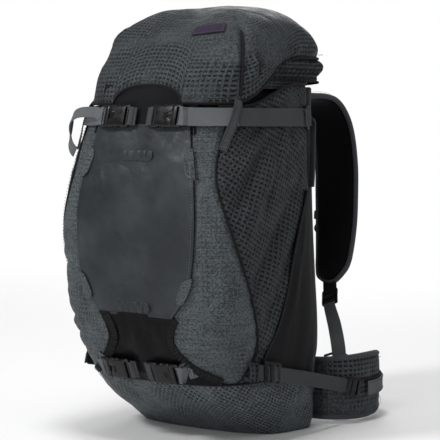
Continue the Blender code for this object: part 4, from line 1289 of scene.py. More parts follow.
def carved(base, cuts=(), joins=()):
    """A mesh with others cut from it and joined to it."""
    made = placed("carved", base)
    helpers = []
    for operation, meshes in (("UNION", joins), ("DIFFERENCE", cuts)):
        for mesh in meshes:
            helpers.append(placed("helper", mesh))
            step = made.modifiers.new("step", "BOOLEAN")
            step.operation, step.object, step.solver = operation, helpers[-1], "EXACT"
    result = evaluated(made)
    for old in [made, *helpers]:
        bpy.data.objects.remove(old)
    return result


def softened(mesh, width):
    """The mesh with its sharp edges rounded."""
    holder = placed("holder", mesh)
    bevel = holder.modifiers.new("bevel", "BEVEL")
    bevel.width, bevel.segments, bevel.limit_method = width, 2, "ANGLE"
    bevel.angle_limit = math.radians(35)
    result = evaluated(holder)
    bpy.data.objects.remove(holder)
    return result


def socket_shape(width, length):
    """Female buckle half: waisted shell, side windows, thumb flutes and a webbing bar."""
    half, h = width / 2 + 0.0035, BUCKLE_HEIGHT / 2
    end = length / 2
    stations = [(-end, half * 0.93, -h * 0.60, h * 0.60), (-end + 0.002, half, -h * 0.8, h * 0.8),
                (-end + 0.008, half * 0.985, -h * 0.95, h * 0.98), (-end * 0.2, half * 0.955, -h, h),
                (end * 0.35, half * 0.965, -h, h), (end * 0.8, half, -h * 0.97, h * 0.99),
                (end - 0.001, half * 0.99, -h * 0.9, h * 0.92), (end, half * 0.96, -h * 0.8, h * 0.82)]
    window = 0.34 * length
    cuts = [block_mesh((length - 0.011, width + 0.001, BUCKLE_HEIGHT - 0.0036), (0.0065, 0, 0), 0),
            block_mesh((window, 0.012, BUCKLE_HEIGHT - 0.0030), (0.001, half, 0), 0.0012),
            block_mesh((window, 0.012, BUCKLE_HEIGHT - 0.0030), (0.001, -half, 0), 0.0012),
            block_mesh((0.0034, width + 0.0006, 0.02), (0.0047 - end, 0, 0), 0.0008)]
    ribs = [block_mesh((0.0009, width * 0.42, 0.0016), (end * 0.42 + k * 0.0022, 0, h), 0.0004, 1)
            for k in range(4)]
    notch = hull_mesh([(end - 0.0065, width * 0.20, h - 0.0009, h + 0.004),
                       (end + 0.004, width * 0.30, h - 0.0022, h + 0.004)], 3.0, 16)
    return softened(carved(hull_mesh(stations), [*cuts, notch], ribs), 0.00035)


def plug_shape(width, length):
    """Male buckle half, its origin at the socket's mouth: bar, shoulder, latch arms, guide."""
    half, h, reach = width / 2, BUCKLE_HEIGHT / 2, length - 0.0125
    stations = [(0.0007, half + 0.0033, -h * 0.86, h * 0.88),
                (0.003, half + 0.0035, -h * 0.92, h * 0.95),
                (0.009, half + 0.0035, -h * 0.72, h * 0.76),
                (0.0138, half + 0.0030, -h * 0.5, h * 0.5)]
    slot = block_mesh((0.0036, width + 0.0006, 0.02), (0.0086, 0, 0), 0.0008)
    body_mesh = carved(hull_mesh(stations), [slot])
    arms = []
    for sign in (1, -1):
        bow = [(0.002, half - 0.004), (-0.004, half - 0.0035), (-0.009, half - 0.0002),
               (-0.0125, half + 0.0016), (-0.0165, half + 0.0008), (-reach, half - 0.0045)]
        path = smooth_path([(x, sign * y, 0) for x, y in bow], 22)
        shape = sweep_mesh(path, [(0, 0, 1)] * 22, ring_profile(0.0040, 0.0046, 10))
        arms.append(shape)
    guide = sweep_mesh([(0.002, 0, 0), (-reach * 0.5, 0, 0), (1.5e-3 - reach, 0, 0)],
                       [(0, 0, 1)] * 3, ring_profile(0.0040, 0.0026, 10))
    meshes = [plain_mesh("arm", points, faces) for points, faces, _ in [*arms, guide]]
    return softened(carved(body_mesh, [], meshes), 0.0003)


def slide_shape(width):
    """Three-bar slide: a shallow bowed frame with two slots and a lifted thumb bar."""
    half, flat = (width + 0.009) / 2, 0.00175
    stations = [(-0.0122, half * 0.90, -0.0002, 0.0022), (-0.0105, half * 0.98, -0.0010, 0.0026),
                (-0.0075, half, -flat, 0.0020), (0.0, half * 0.985, -flat, flat),
                (0.0080, half, -flat, flat), (0.0108, half * 0.97, -flat, 0.0015),
                (0.0120, half * 0.90, -0.0012, 0.0010)]
    cuts = [block_mesh((0.0036, width + 0.001, 0.02), (x, 0, 0), 0.0008) for x in (-0.0055, 0.0055)]
    return softened(carved(hull_mesh(stations, 5.0), cuts), 0.0003)


SHAPES = {}


def hardware(name, make, args, rotation, origin, ride_on, *nodes):
    """One moulded piece: the shape is made once for each size and copied into place."""
    key = (make.__name__, *args)
    if key not in SHAPES:
        SHAPES[key] = make(*args)
    return finish_hard(name, moved(SHAPES[key].copy(), rotation, origin), ride_on, *nodes)


def build_zip_slider():
    low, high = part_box("lid_zip_slider")
    middle = (low + high) / 2
    slider = [(-0.0042, 0.0022, -0.0019, 0.0016), (-0.002, 0.0046, -0.0021, 0.0020),
              (0.0025, 0.0040, -0.0021, 0.0022), (0.0042, 0.0030, -0.0018, 0.0014)]
    arch = sweep_mesh(smooth_path([(0, -0.0036, 0.0012), (0, -0.0036, 0.0052), (0, 0.0, 0.0073),
                                   (0, 0.0030, 0.0052), (0, 0.0030, 0.0012)], 21),
                      [(1, 0, 0)] * 21, ring_profile(0.0012, 0.0020, 8))
    bridge = plain_mesh("bridge", *arch[:2])
    body_mesh = softened(carved(hull_mesh(slider), [], [bridge]), 0.0002)
    mesh = moved(body_mesh, frame_of((1, 0, 0), (0, 1, 0)), middle)
    finish_hard("lid_zip_slider_body", mesh, "zip_slider", "lid_zip_slider")
    low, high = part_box("lid_zip_pull")
    middle = (low + high) / 2
    tall = high.z - low.z
    plate = [(-tall / 2, 0.0022, -0.0006, 0.0006), (-tall / 2 + 0.003, 0.0036, -0.0009, 0.0009),
             (0.0, 0.0030, -0.0009, 0.0009), (tall / 2 - 0.004, 0.0034, -0.0008, 0.0008),
             (tall / 2, 0.0026, -0.0006, 0.0006)]
    slot = block_mesh((0.0052, 0.0030, 0.01), (tall / 2 - 0.0048, 0, 0), 0.0006)
    ridges = [block_mesh((0.0008, 0.0048, 0.0024), (k * 0.0022 - 0.008, 0, 0), 0.0003, 1)
              for k in range(4)]
    mesh = softened(carved(hull_mesh(plate), [slot], ridges), 0.0002)
    finish_hard("lid_zip_pull_tab", moved(mesh, frame_of((0, 0, 1), (0, 1, 0)), middle),
                "zip_pull", "lid_zip_pull")


def finish_hard(name, mesh, ride_on, *nodes):
    mesh.name = name
    mesh.materials.clear()
    mesh.materials.append(MATERIALS["moulded_plastic"])
    mesh.shade_smooth()
    mesh.set_sharp_from_angle(angle=math.radians(35))
    piece = placed(name, mesh)
    return wear(piece, ride_on, *nodes)


# ---------------------------------------------------------------- straps
def strap_shape(points, faces, width, count, thickness=WEBBING_THICK):
    """Flat webbing through a few 3D points; faces is the direction its outside faces."""
    path = smooth_path(points, count)
    return sweep_mesh(path, unit(smooth_path(faces, count)), tape_profile(width, thickness))


def loft_strap_points(loft, route, count):
    """Points and normals of a strap's middle along (angle, t, level) waypoints."""
    line = smooth_path(route, count)
    return (loft.offset(line[:, 0], line[:, 1], line[:, 2]),
            loft.normal(line[:, 0], line[:, 1]))


def local(origin, directions, *rows):
    """Points at distances from an origin along each of a few directions."""
    return [sum((np.asarray(d) * s for d, s in zip(directions, row)), np.asarray(origin))
            for row in rows]


def wrap(origin, pull, normal, reach):
    """Webbing doubled round a bar: from under it, round it and out along the pull."""
    directions = unit(np.array(pull, float)), unit(np.array(normal, float))
    return local(origin, directions, (reach, -0.0010), (0.006, -0.0016), (0.0008, -0.0018),
                 (-0.0020, -0.0008), (-0.0020, 0.0008), (0.0008, 0.0018), (0.006, 0.0016))


def build_compression(sign, side):
    """Top and bottom compression straps of one side with their buckles."""
    for level, z, inner in (("top", TOP_STRAP_Z, 0.020), ("bottom", BOTTOM_STRAP_Z, 0.018)):
        front = body.point(-90.0, z)[1]
        tilt = body.normal(-90.0, z)
        rise = 0.0042 + BUCKLE_HEIGHT / 2
        centre = np.array([0, front, z]) + tilt * rise
        centre[0] = sign * (inner + BUCKLE_LENGTH / 2)
        mouth = (sign, 0, 0)
        rotation = frame_of(mouth, tilt)
        hardware(f"{level}_buckle_female_{side}", socket_shape, (WEBBING, BUCKLE_LENGTH), rotation,
                 centre, "pack", f"{level}_buckle_socket_{side}")
        hardware(f"{level}_buckle_male_{side}", plug_shape, (WEBBING, BUCKLE_LENGTH), rotation,
                 centre + np.array([sign * BUCKLE_LENGTH / 2, 0, 0]), f"{level}_plug_{side}",
                 f"{level}_buckle_plug_{side}")
        bar = centre - np.array([sign * (BUCKLE_LENGTH / 2 - 0.0015), 0, 0])
        anchor = wrap(bar, (-sign, 0, 0), tilt, 0.012)
        dip = np.array([-sign * 0.019, 0, 0]) - tilt * (rise - 0.0022)
        loop = strap_shape([*anchor, bar + dip * np.array([0.5, 0.4, 0.4])], [tilt] * 8, WEBBING,
                           30)
        sewn(f"{level}_anchor_loop_{side}", [loop], "dark_webbing", "pack")
        build_strap_run(sign, side, level, z, centre, tilt)
    keeper = [(on_side(sign, a), t, lift) for a, t, lift in KEEPER]
    path, normals = loft_strap_points(body, keeper, 30)
    strip = sweep_mesh(path, normals, tape_profile(KEEPER_WIDTH, 0.0013))
    sewn(f"keeper_strip_{side}", [strip], "dark_webbing", "pack",
         f"strap_keeper_{side}")
    run = unit(np.gradient(path, axis=0))
    beside = unit(np.cross(normals, run)) * (KEEPER_WIDTH / 2 - 0.0016)
    dark = [stitch_shapes(path + normals * 0.0007 + beside * s, normals, 0.0022, 0.0014)
            for s in (1, -1)]
    tacks = []
    for k in (26, 28):
        line = np.linspace(path[k] - beside[k], path[k] + beside[k], 8) + normals[k] * 0.0008
        tacks.append(stitch_shapes(line, np.repeat(normals[k][None], 8, axis=0), 0.0015, 0.0005))
    sewn(f"keeper_stitching_{side}", dark, "dark_thread", "pack")
    sewn(f"strap_tacks_{side}", tacks, "thread", "pack")


def build_strap_run(sign, side, level, z, centre, tilt):
    """The webbing from a plug's bar round the bag, and what hangs from its slide."""
    bar = centre + np.array([sign * (BUCKLE_LENGTH / 2 + 0.0115), 0, 0])
    start = abs(bar[0]) + 0.008
    first = body.angle_at(start, z)
    lift = STRAP_LEVEL + WEBBING_THICK / 2
    if level == "top":
        route = [(first, z, lift + 0.0022), (-45.0, z, lift), (-30.0, z, lift), (-12.0, z, lift),
                 (8.0, z, lift), (24.0, z, lift), (26.5, z, lift)]
        count = 90
    else:
        route = [(first, z, lift + 0.0022), (-55.5, z + 0.002, 0.0034), (-52.0, z + 0.004, 0.0010),
                 (-49.5, z + 0.006, -0.0035)]
        count = 22
    waypoints = [(on_side(sign, a), t, rise) for a, t, rise in route]
    path, normals = loft_strap_points(body, waypoints, count)
    under = wrap(bar, (sign, 0, 0), tilt, 0.022)
    turn = smooth_path(under, 26)[4:]
    path = np.concatenate([turn, path])
    normals = np.concatenate([np.repeat(tilt[None], len(turn), axis=0), normals])
    reach = distances(path)
    keep = np.concatenate([[True], np.diff(reach) > 1e-5])
    path, normals = path[keep], normals[keep]
    if level == "top":
        # Behind the keeper the strap is made in the darker webbing: painted shade on the part that
        # turns away from the light.
        behind = int(np.argmax(path[:, 1] > body.point(-30.0, z)[1]))
        rear = sweep_mesh(path[behind:], normals[behind:], tape_profile(WEBBING, WEBBING_THICK))
        sewn(f"top_webbing_rear_{side}", [rear], "dark_webbing", "pack")
        path, normals = path[:behind + 1], normals[:behind + 1]
    strap = sweep_mesh(path, normals, tape_profile(WEBBING, WEBBING_THICK))
    web = joined(f"{level}_webbing_{side}", [strap], "webbing")
    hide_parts(f"{level}_strap_{side}")
    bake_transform(web)
    if level == "top":
        past = float(body.step(26.0, z, 0.0145, 0)[0])
        a = on_side(sign, past)
        normal = body.normal(a, z)
        around, _ = body.tangents(a, z)
        pull = around * sign
        origin = body.offset(a, z, 0.0045)
        hardware(f"top_slide_{side}", slide_shape, (WEBBING,), frame_of(-pull, normal), origin,
                 "pack", f"top_ladder_lock_{side}")
        pull = unit(pull)
        thread = local(origin, (pull, normal), (-0.020, -0.0004), (-0.011, 0.0002),
                       (-0.0055, 0.0012), (0.0, 0.0030), (0.0055, 0.0012), (0.0095, 0.0006))
        over = strap_shape(thread, [normal] * len(thread), WEBBING - 0.001, 30)
        hang = local(origin, (pull, normal, (0, 0, -1.0)), (0.0080, 0.0008),
                     (0.0125, 0.0030, 0.001), (0.0150, 0.0040, 0.010), (0.0130, 0.0040, 0.030),
                     (0.0090, 0.0045, 0.055), (0.0040, 0.0055, 0.080), (0.0010, 0.0050, 0.098))
        facing = local((0, 0, 0), (normal, pull), (1, 0.6), (1, 1), (0.6, 1), (0.6, 1), (0.7, 1),
                       (1, 1), (1, 1))
        tail = strap_shape(hang, facing, 0.010, 60, 0.0020)
        sewn(f"top_strap_tail_{side}", [tail, over], "dark_webbing", "pack")
        if sign < 0:
            build_slack_loop(bar, tilt)


def build_slack_loop(bar, tilt):
    """Spare webbing of the left top strap, standing out in a loop beside its buckle."""
    route = [(-124.0, 0.449, 0.0100), (-132.0, 0.450, 0.0135), (-141.0, 0.446, 0.0200),
             (-150.0, 0.434, 0.0240), (-152.0, 0.415, 0.0200), (-147.0, 0.402, 0.0110),
             (-143.0, 0.396, 0.0040)]
    path, normals = loft_strap_points(body, route, 60)
    first = np.array(bar) + np.array([-0.002, 0, 0]) + tilt * 0.0022
    path = np.concatenate([[first], path[3:]])
    normals = np.concatenate([[tilt], normals[3:]])
    path = smooth_path(path[::4], 70)
    normals = unit(smooth_path(normals[::4], 70))
    loop = sweep_mesh(path, normals, tape_profile(0.0150, WEBBING_THICK))
    sewn("slack_loop_left", [loop], "webbing", "top_plug_left")


def build_stabiliser(sign, side):
    """Strap from the bag's lower side to the hip belt, with its gusset and two slides."""
    flip = np.array([sign, 1.0, 1.0])
    points = np.array([(0.1550, -0.004, 0.0945), (0.1580, 0.050, 0.083), (0.1595, 0.105, 0.070),
                       (0.1612, 0.140, 0.062), (0.1655, 0.1580, 0.057), (0.1722, 0.1725, 0.053)])
    faces = np.array([(1, -0.10, 0.2), (1, -0.08, 0.2), (1, -0.05, 0.15), (1, -0.15, 0.1),
                      (0.9, -0.4, 0.0), (0.88, -0.45, 0.0)])
    pull = points[1] - points[0]
    origin = (points[0] - unit(pull) * 0.0145 + np.array([0.0005, 0, 0])) * flip
    pull, normal = pull * flip, np.array([sign, -0.12, 0.2])
    hardware(f"stabiliser_slide_{side}", slide_shape, (NARROW_WEBBING,),
             frame_of(-pull, normal) @ Matrix.Diagonal((1.5, 1.15, 1.15, 1.0)),
             origin - unit(pull) * 0.004, "pack", f"stabiliser_buckle_{side}")
    pull, normal = unit(pull), unit(normal)
    side_vector = unit(np.cross(normal, pull))
    first = local(origin, (pull, normal), (-0.030, -0.0044), (-0.017, -0.0012),
                  (-0.0085, -0.0002), (-0.0055, 0.0010), (0.0, 0.0004), (0.0055, 0.0012),
                  (0.0085, 0.0002))
    web = strap_shape([*first, *(points * flip)], [normal] * len(first) + list(faces * flip),
                      NARROW_WEBBING, 110)
    sewn(f"stabiliser_strap_{side}", [web], "dark_webbing", "pack",
         f"stabiliser_webbing_{side}")
    rows = []
    for k in range(14):
        share = k / 13
        along = -0.043 + 0.027 * share
        spread = 0.0140 - 0.0030 * share
        depth = -0.0085 + 0.0078 * share
        rows.append([origin + pull * along + side_vector * spread * v + normal *
                     (depth - 0.0016 * abs(v)) for v in np.linspace(-1, 1, 12)])
    rows = np.array(rows)
    if np.dot(normals_of(rows)[6, 6], normal) < 0:
        rows = rows[:, ::-1]
    wear(grid_piece(f"stabiliser_gusset_{side}", rows, "shaded_side_ripstop", 0.0016), "pack",
         f"stabiliser_tab_{side}")
    ends = [stitch_shapes(rows[:, c] + normal * 0.0006, np.repeat(normal[None], 14, axis=0),
                          0.0022, 0.0014) for c in (1, -2)]
    sewn(f"gusset_stitching_{side}", ends, "dark_thread", "pack")
    at, face = points[5] * flip, unit(faces[5] * flip)
    run = unit((points[5] - points[4]) * flip)
    hardware(f"belt_slide_{side}", slide_shape, (NARROW_WEBBING,), frame_of(-run, face),
             at - run * 0.004 + face * 0.0008, "pack")


def build_haul_loop():
    points = [(-0.026, 0.1335, 0.458), (-0.026, 0.1335, 0.463), (-0.022, 0.148, 0.465),
              (-0.011, 0.159, 0.467), (0.0, 0.162, 0.468), (0.011, 0.159, 0.467),
              (0.022, 0.148, 0.465), (0.026, 0.1335, 0.463), (0.026, 0.1335, 0.458)]
    faces = [(-1, 0.1, 0), (-1, 0.1, 0), (-1, 0.5, 0), (-0.5, 1, 0), (0, 1, 0), (0.5, 1, 0),
             (1, 0.5, 0), (1, 0.1, 0), (1, 0.1, 0)]
    loop = strap_shape(points, faces, NARROW_WEBBING, 70, 0.0020)
    grip = smooth_path(points[2:7], 40)
    out = unit(smooth_path(faces[2:7], 40))
    roll = sweep_mesh(grip, out, ring_profile(0.017, 0.0060, 14))
    sewn("haul_loop_webbing", [loop], "dark_webbing", "pack", "haul_loop")
    sewn("haul_loop_grip", [roll], "black_fabric", "pack")


# ---------------------------------------------------------------- padding
def pad_frame(points, faces, widths, count):
    path = smooth_path(points, count)
    normals = smooth_path(faces, count)
    run = np.gradient(path, axis=0)
    side = unit(np.cross(normals, run))
    return path, side, unit(np.cross(run, side)), smooth_path([(w, 0, 0) for w in widths],
                                                              count)[:, 0]


def pad_mesh(points, faces, widths, thickness, round_ends=(0.0, 0.0), count=70, sides=40):
    """Foam pad: a rounded-rectangle section swept along a path, its ends rounded."""
    path, side, out, spans = pad_frame(points, faces, widths, count)
    along = distances(path)
    for reach, away in ((round_ends[0], along), (round_ends[1], along[-1] - along)):
        if reach:
            near = np.clip(1 - away / reach, 0.0, 0.995)
            spans = spans * (1 - near**2.2)**0.5
    a = np.linspace(0, math.tau, sides, endpoint=False) + math.pi / sides
    x = np.sign(np.cos(a)) * np.abs(np.cos(a))**0.45 / 2
    y = np.sign(np.sin(a)) * np.abs(np.sin(a))**0.8 * thickness / 2
    rows = (path[:, None] + side[:, None] * (x[None] * spans[:, None])[..., None]
            + out[:, None] * y[None, :, None])
    *skin, start, end = tube_faces(count, sides)
    mesh = plain_mesh("pad", rows.reshape(-1, 3), [*skin, start[::-1], end])
    bm = bmesh.new()
    bm.from_mesh(mesh)
    bmesh.ops.recalc_face_normals(bm, faces=bm.faces)
    bm.to_mesh(mesh)
    bm.free()
    return mesh


def coordinates(mesh):
    flat = np.empty(len(mesh.vertices) * 3)
    mesh.vertices.foreach_get("co", flat)
    return flat.reshape(-1, 3)


def set_coordinates(mesh, points):
    mesh.vertices.foreach_set("co", np.asarray(points, np.float64).ravel())
    mesh.update()


def inflate(pads):
    """Cloth simulation that swells every pad between its sewn lines, all in one run.

    Each pad is (name, mesh, sewn, cap, voxel): sewn marks the points that stay put, and no
    point moves further than cap.
    """
    scene = bpy.context.scene
    made = []
    for name, mesh, sewn, cap, voxel in pads:
        piece = placed(name, mesh)
        remesh = piece.modifiers.new("remesh", "REMESH")
        remesh.mode, remesh.voxel_size = "VOXEL", voxel
        piece.data = evaluated(piece)
        piece.modifiers.clear()
        start = coordinates(piece.data)
        held = np.flatnonzero(sewn(start)).tolist()
        group = piece.vertex_groups.new(name="sewn")
        group.add(held, 1.0, "REPLACE")
        cloth = piece.modifiers.new("cloth", "CLOTH")
        cloth.settings.vertex_group_mass = "sewn"
        cloth.settings.use_pressure = True
        cloth.settings.uniform_pressure_force = 4.0
        cloth.settings.effector_weights.gravity = 0.0
        cloth.settings.quality = 4
        cloth.point_cache.frame_start, cloth.point_cache.frame_end = 1, 20
        made.append((piece, start, cap))
    for step in range(1, 21):
        scene.frame_set(step)
    results = []
    for piece, start, cap in made:
        mesh = evaluated(piece)
        shift = coordinates(mesh) - start
        reach = np.linalg.norm(shift, axis=1, keepdims=True)
        set_coordinates(mesh, start + shift * np.minimum(1.0, cap / (reach + TINY)))
        piece.modifiers.clear()
        piece.data = mesh
        smooth = piece.modifiers.new("smooth", "SMOOTH")
        smooth.iterations, smooth.factor = 2, 0.5
        fine = piece.modifiers.new("fine", "SUBSURF")
        fine.levels = fine.render_levels = 1
        piece.data = evaluated(piece)
        piece.modifiers.clear()
        piece.data.shade_smooth()
        results.append(piece)
    scene.frame_set(1)
    return results


def near_path(points, path):
    """For each point, the index of the nearest path point and the offset from it."""
    away = np.linalg.norm(points[:, None] - path[None], axis=-1)
    nearest = away.argmin(axis=1)
    return nearest, points - path[nearest]


# Paths of the pads on the right: points, the directions that they face, and widths.
SHOULDER_PATH = [(0.062, 0.1475, 0.461), (0.068, 0.161, 0.4715), (0.076, 0.190, 0.477),
            (0.084, 0.222, 0.466), (0.090, 0.241, 0.432), (0.093, 0.249, 0.380),
            (0.094, 0.249, 0.330), (0.097, 0.243, 0.280), (0.102, 0.228, 0.232),
            (0.107, 0.208, 0.200)]
SHOULDER_FACES = [(0, 0.6, 0.8), (0, 0.35, 1), (0, 0.2, 1), (0.03, 0.8, 0.8), (0.04, 1, 0.3),
                  (0.04, 1, 0.05), (0.04, 1, 0), (0.05, 1, -0.15), (0.1, 1, -0.35),
                  (0.2, 1, -0.6)]
SHOULDER_WIDTHS = [0.046, 0.050, 0.058, 0.064, 0.069, 0.071, 0.071, 0.068, 0.060, 0.048]
SHOULDER = (SHOULDER_PATH, SHOULDER_FACES, SHOULDER_WIDTHS)
BELT_PATH = [(0.100, 0.1435, 0.052), (0.132, 0.1480, 0.052), (0.157, 0.1640, 0.053),
        (0.168, 0.187, 0.053), (0.171, 0.2145, 0.053), (0.1690, 0.236, 0.054),
        (0.1580, 0.259, 0.055), (0.1400, 0.275, 0.056), (0.1220, 0.284, 0.057)]
BELT_FACES = [(0.1, -1, 0), (0.5, -1, 0), (1, -0.6, 0), (1, -0.2, 0), (1, 0, 0), (1, 0.2, 0),
              (1, 0.9, 0), (0.6, 1, 0), (0.4, 1, 0)]
BELT_WIDTHS = [0.088, 0.090, 0.092, 0.094, 0.094, 0.090, 0.080, 0.066, 0.050]
BELT = (BELT_PATH, BELT_FACES, BELT_WIDTHS)
FOAM = 0.0105             # foam before its cover swells


def mirror_x(values, sign):
    return [(sign * x, y, z) for x, y, z in values]


def sided(pad, sign):
    """A pad's points, facing directions and widths on one side."""
    return mirror_x(pad[0], sign), mirror_x(pad[1], sign), pad[2]


def build_padding():
    """Shoulder pads, hip belt, back panel and lumbar pad, swelled in one simulation."""
    pads = []
    for sign, side in SIDES:
        mesh = pad_mesh(*sided(SHOULDER, sign), FOAM, (0.0, 0.030))
        path, across, _, spans = pad_frame(*sided(SHOULDER, sign), 120)

        def shoulder_sewn(points, path=path, across=across, spans=spans):
            nearest, offset = near_path(points, path)
            share = np.abs((offset * across[nearest]).sum(axis=1)) / (spans[nearest] / 2)
            return (share > 0.86) | (nearest < 3)

        pads.append((f"shoulder_pad_foam_{side}", mesh, shoulder_sewn, 0.0040, 0.0040))
        mesh = pad_mesh(*sided(BELT, sign), FOAM, (0.0, 0.012), sides=48)
        path, _, _, width = pad_frame(*sided(BELT, sign), 120)

        def belt_sewn(points, path=path, width=width):
            nearest, offset = near_path(points, path)
            lift = offset[:, 2]
            seam = np.abs(lift - 0.009) < 0.0022
            return seam | (np.abs(lift) > width[nearest] / 2 - 0.006) | (nearest < 3)

        pads.append((f"hip_belt_foam_{side}", mesh, belt_sewn, 0.0045, 0.0042))
    pads.append(("back_pad_foam", back_mesh(), back_sewn, 0.0060, 0.0046))
    lumbar = pad_mesh([(-0.098, 0.1425, 0.062), (0.0, 0.1445, 0.062), (0.098, 0.1425, 0.062)],
                      [(0, -1, 0)] * 3, [0.080, 0.094, 0.080], 0.0095, (0.02, 0.02), sides=48)

    def lumbar_sewn(points):
        return ((np.abs(np.abs(points[:, 0]) - 0.034) < 0.0022)
                | (np.abs(points[:, 2] - 0.062) > 0.040))

    pads.append(("lumbar_pad_foam", lumbar, lumbar_sewn, 0.0040, 0.0042))
    made = {piece.name: piece for piece in inflate(pads)}
    for sign, side in SIDES:
        finish_shoulder(made[f"shoulder_pad_foam_{side}"], sign, side)
        finish_belt(made[f"hip_belt_foam_{side}"], sign, side)
    for name, node in (("back_pad_foam", "back_panel"), ("lumbar_pad_foam", "lumbar_pad")):
        made[name].data.materials.append(MATERIALS["mesh_padding"])
        wear(made[name], "pack", node)
    build_back_binding()


BACK_ROWS = [0.030, 0.105, 0.172, 0.239, 0.306, 0.373, 0.440, 0.489]


def back_mesh():
    """Closed shell over the back of the bag, from one rear seam to the other."""
    angle, z = np.meshgrid(np.linspace(37.0, 143.0, 70), np.linspace(0.031, 0.488, 110))
    inner = body.offset(angle, z, 0.0012)
    outer = body.offset(angle, z, 0.0078)
    count, across = angle.shape
    points = np.concatenate([outer.reshape(-1, 3), inner.reshape(-1, 3)])
    total = count * across
    grid = np.arange(total).reshape(count, across)
    faces = []
    for quad in zip(*(part.ravel().tolist() for part in (
            grid[:-1, :-1], grid[:-1, 1:], grid[1:, 1:], grid[1:, :-1]))):
        faces += [quad, tuple(q + total for q in quad[::-1])]
    edge = [*grid[0], *grid[1:, -1], *grid[-1, -2::-1], *grid[-2:0:-1, 0]]
    for a, b in zip(edge, edge[1:] + edge[:1]):
        faces.append((b, a, a + total, b + total))
    return plain_mesh("back", points, faces)


def back_sewn(points):
    """The panel's rim, its middle channel, two side channels and the cross channels."""
    x, z = np.abs(points[:, 0]), points[:, 2]
    cross = np.min([np.abs(z - row) for row in BACK_ROWS[1:-1]], axis=0) < 0.0032
    rim = (z < 0.038) | (z > 0.481) | (x > 0.112)
    return rim | (x < 0.0060) | (np.abs(x - 0.082) < 0.0032) | (cross & (x < 0.082))


def build_back_binding():
    """Taped edge that closes the back panel against the side panels."""
    tapes = []
    for a in (37.2, 142.8):
        route = [(a, z) for z in np.linspace(0.033, 0.486, 14)]
        path, normals = loft_line(body, route, 0.0046)
        tapes.append(sweep_mesh(path, normals, ring_profile(0.0070, 0.0082, 12)))
    a = np.linspace(37.0, 143.0, 60)
    tapes.append(run_round(body, a, MOUTH, 0.0046, ring_profile(0.0066, 0.0084, 12)))
    sewn("back_panel_binding", tapes, "binding", "pack")


def finish_shoulder(pad, sign, side):
    pad.data.materials.append(MATERIALS["mesh_padding"])
    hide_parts(f"shoulder_pad_{side}")
    path, across, out, spans = pad_frame(*sided(SHOULDER, sign), 110)
    along = distances(path)
    near = np.clip(1 - (along[-1] - along) / 0.030, 0.0, 0.97)
    spans = spans * (1 - near**2.2)**0.5
    left = path + across * (spans / 2 - 0.0010)[:, None]
    right = path - across * (spans / 2 - 0.0010)[:, None]
    outline = np.concatenate([left, right[::-1]])
    facing = np.concatenate([out, out[::-1]])
    edge = sweep_mesh(smooth_path(outline[::5], 240), unit(smooth_path(facing[::5], 240)),
                      ring_profile(0.0070, 0.0078, 10))
    binding = joined(f"shoulder_binding_{side}", [edge], "binding")
    lines = []
    for rim, inward in ((left, -across), (right, across)):
        for level in (0.0064, -0.0064):
            lines.append(stitch_shapes(rim + inward * 0.0062 + out * level,
                                       out * np.sign(level), 0.0026, 0.0016))
    stitches = joined(f"shoulder_stitching_{side}", lines, "dark_thread")
    yoke = strap_shape([path[0] - np.array([0, 0.010, 0.004]), path[0] + out[0] * 0.002,
                        path[8] + out[8] * 0.0086, path[22] + out[22] * 0.0092],
                       [out[0], out[0], out[8], out[22]], 0.034, 24, 0.0016)
    cover = joined(f"shoulder_yoke_{side}", [yoke], "black_fabric")
    for piece in (pad, binding, stitches, cover):
        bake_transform(piece)
    build_shoulder_strap(sign, side, path)
    build_sternum(sign, side, path, out)


def build_shoulder_strap(sign, side, path):
    """Wrap, slide and lower webbing at the end of a shoulder pad."""
    lock = np.array((sign * 0.1135, 0.1975, 0.1795))
    pull = np.array((sign * 0.25, -0.45, -0.90))
    normal = np.array((0.2 * sign, 0.9, -0.45))
    hardware(f"shoulder_slide_{side}", slide_shape, (NARROW_WEBBING,), frame_of(-pull, normal),
             lock, f"shoulder_{side}", f"shoulder_buckle_{side}")
    pull = unit(pull)
    normal = unit(np.cross(pull, np.cross(normal, pull)))
    cuff = [*local(path[-1], (pull, normal), (-0.020, 0.001), (-0.004, 0)),
            *local(lock, (pull, normal), (-0.012, 0), (-0.0040, 0.0004), (0.0004, 0.0022))]
    wrap_piece = strap_shape(cuff, [normal] * 5, 0.0215, 30, 0.0046)
    sewn(f"shoulder_cuff_{side}", [wrap_piece], "black_fabric", f"shoulder_{side}")
    route = [*local(lock, (pull, normal), (-0.0005, 0.0034), (0.0055, 0.0014), (0.0145, 0)),
             *mirror_x([(0.1255, 0.1910, 0.140), (0.1345, 0.1865, 0.112), (0.1415, 0.1795, 0.088),
                        (0.1470, 0.1725, 0.066), (0.1488, 0.1716, 0.045)], sign)]
    facing = [normal, normal, normal, *mirror_x(
        [(-0.3, 1, 0), (-0.5, 0.85, 0), (-0.65, 0.75, 0), (-0.735, 0.68, 0), (-0.735, 0.68, 0)],
        sign)]
    run = strap_shape(route, facing, NARROW_WEBBING, 100)
    web = joined(f"shoulder_lower_webbing_{side}", [run], "webbing")
    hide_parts(f"shoulder_webbing_{side}")
    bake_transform(web)


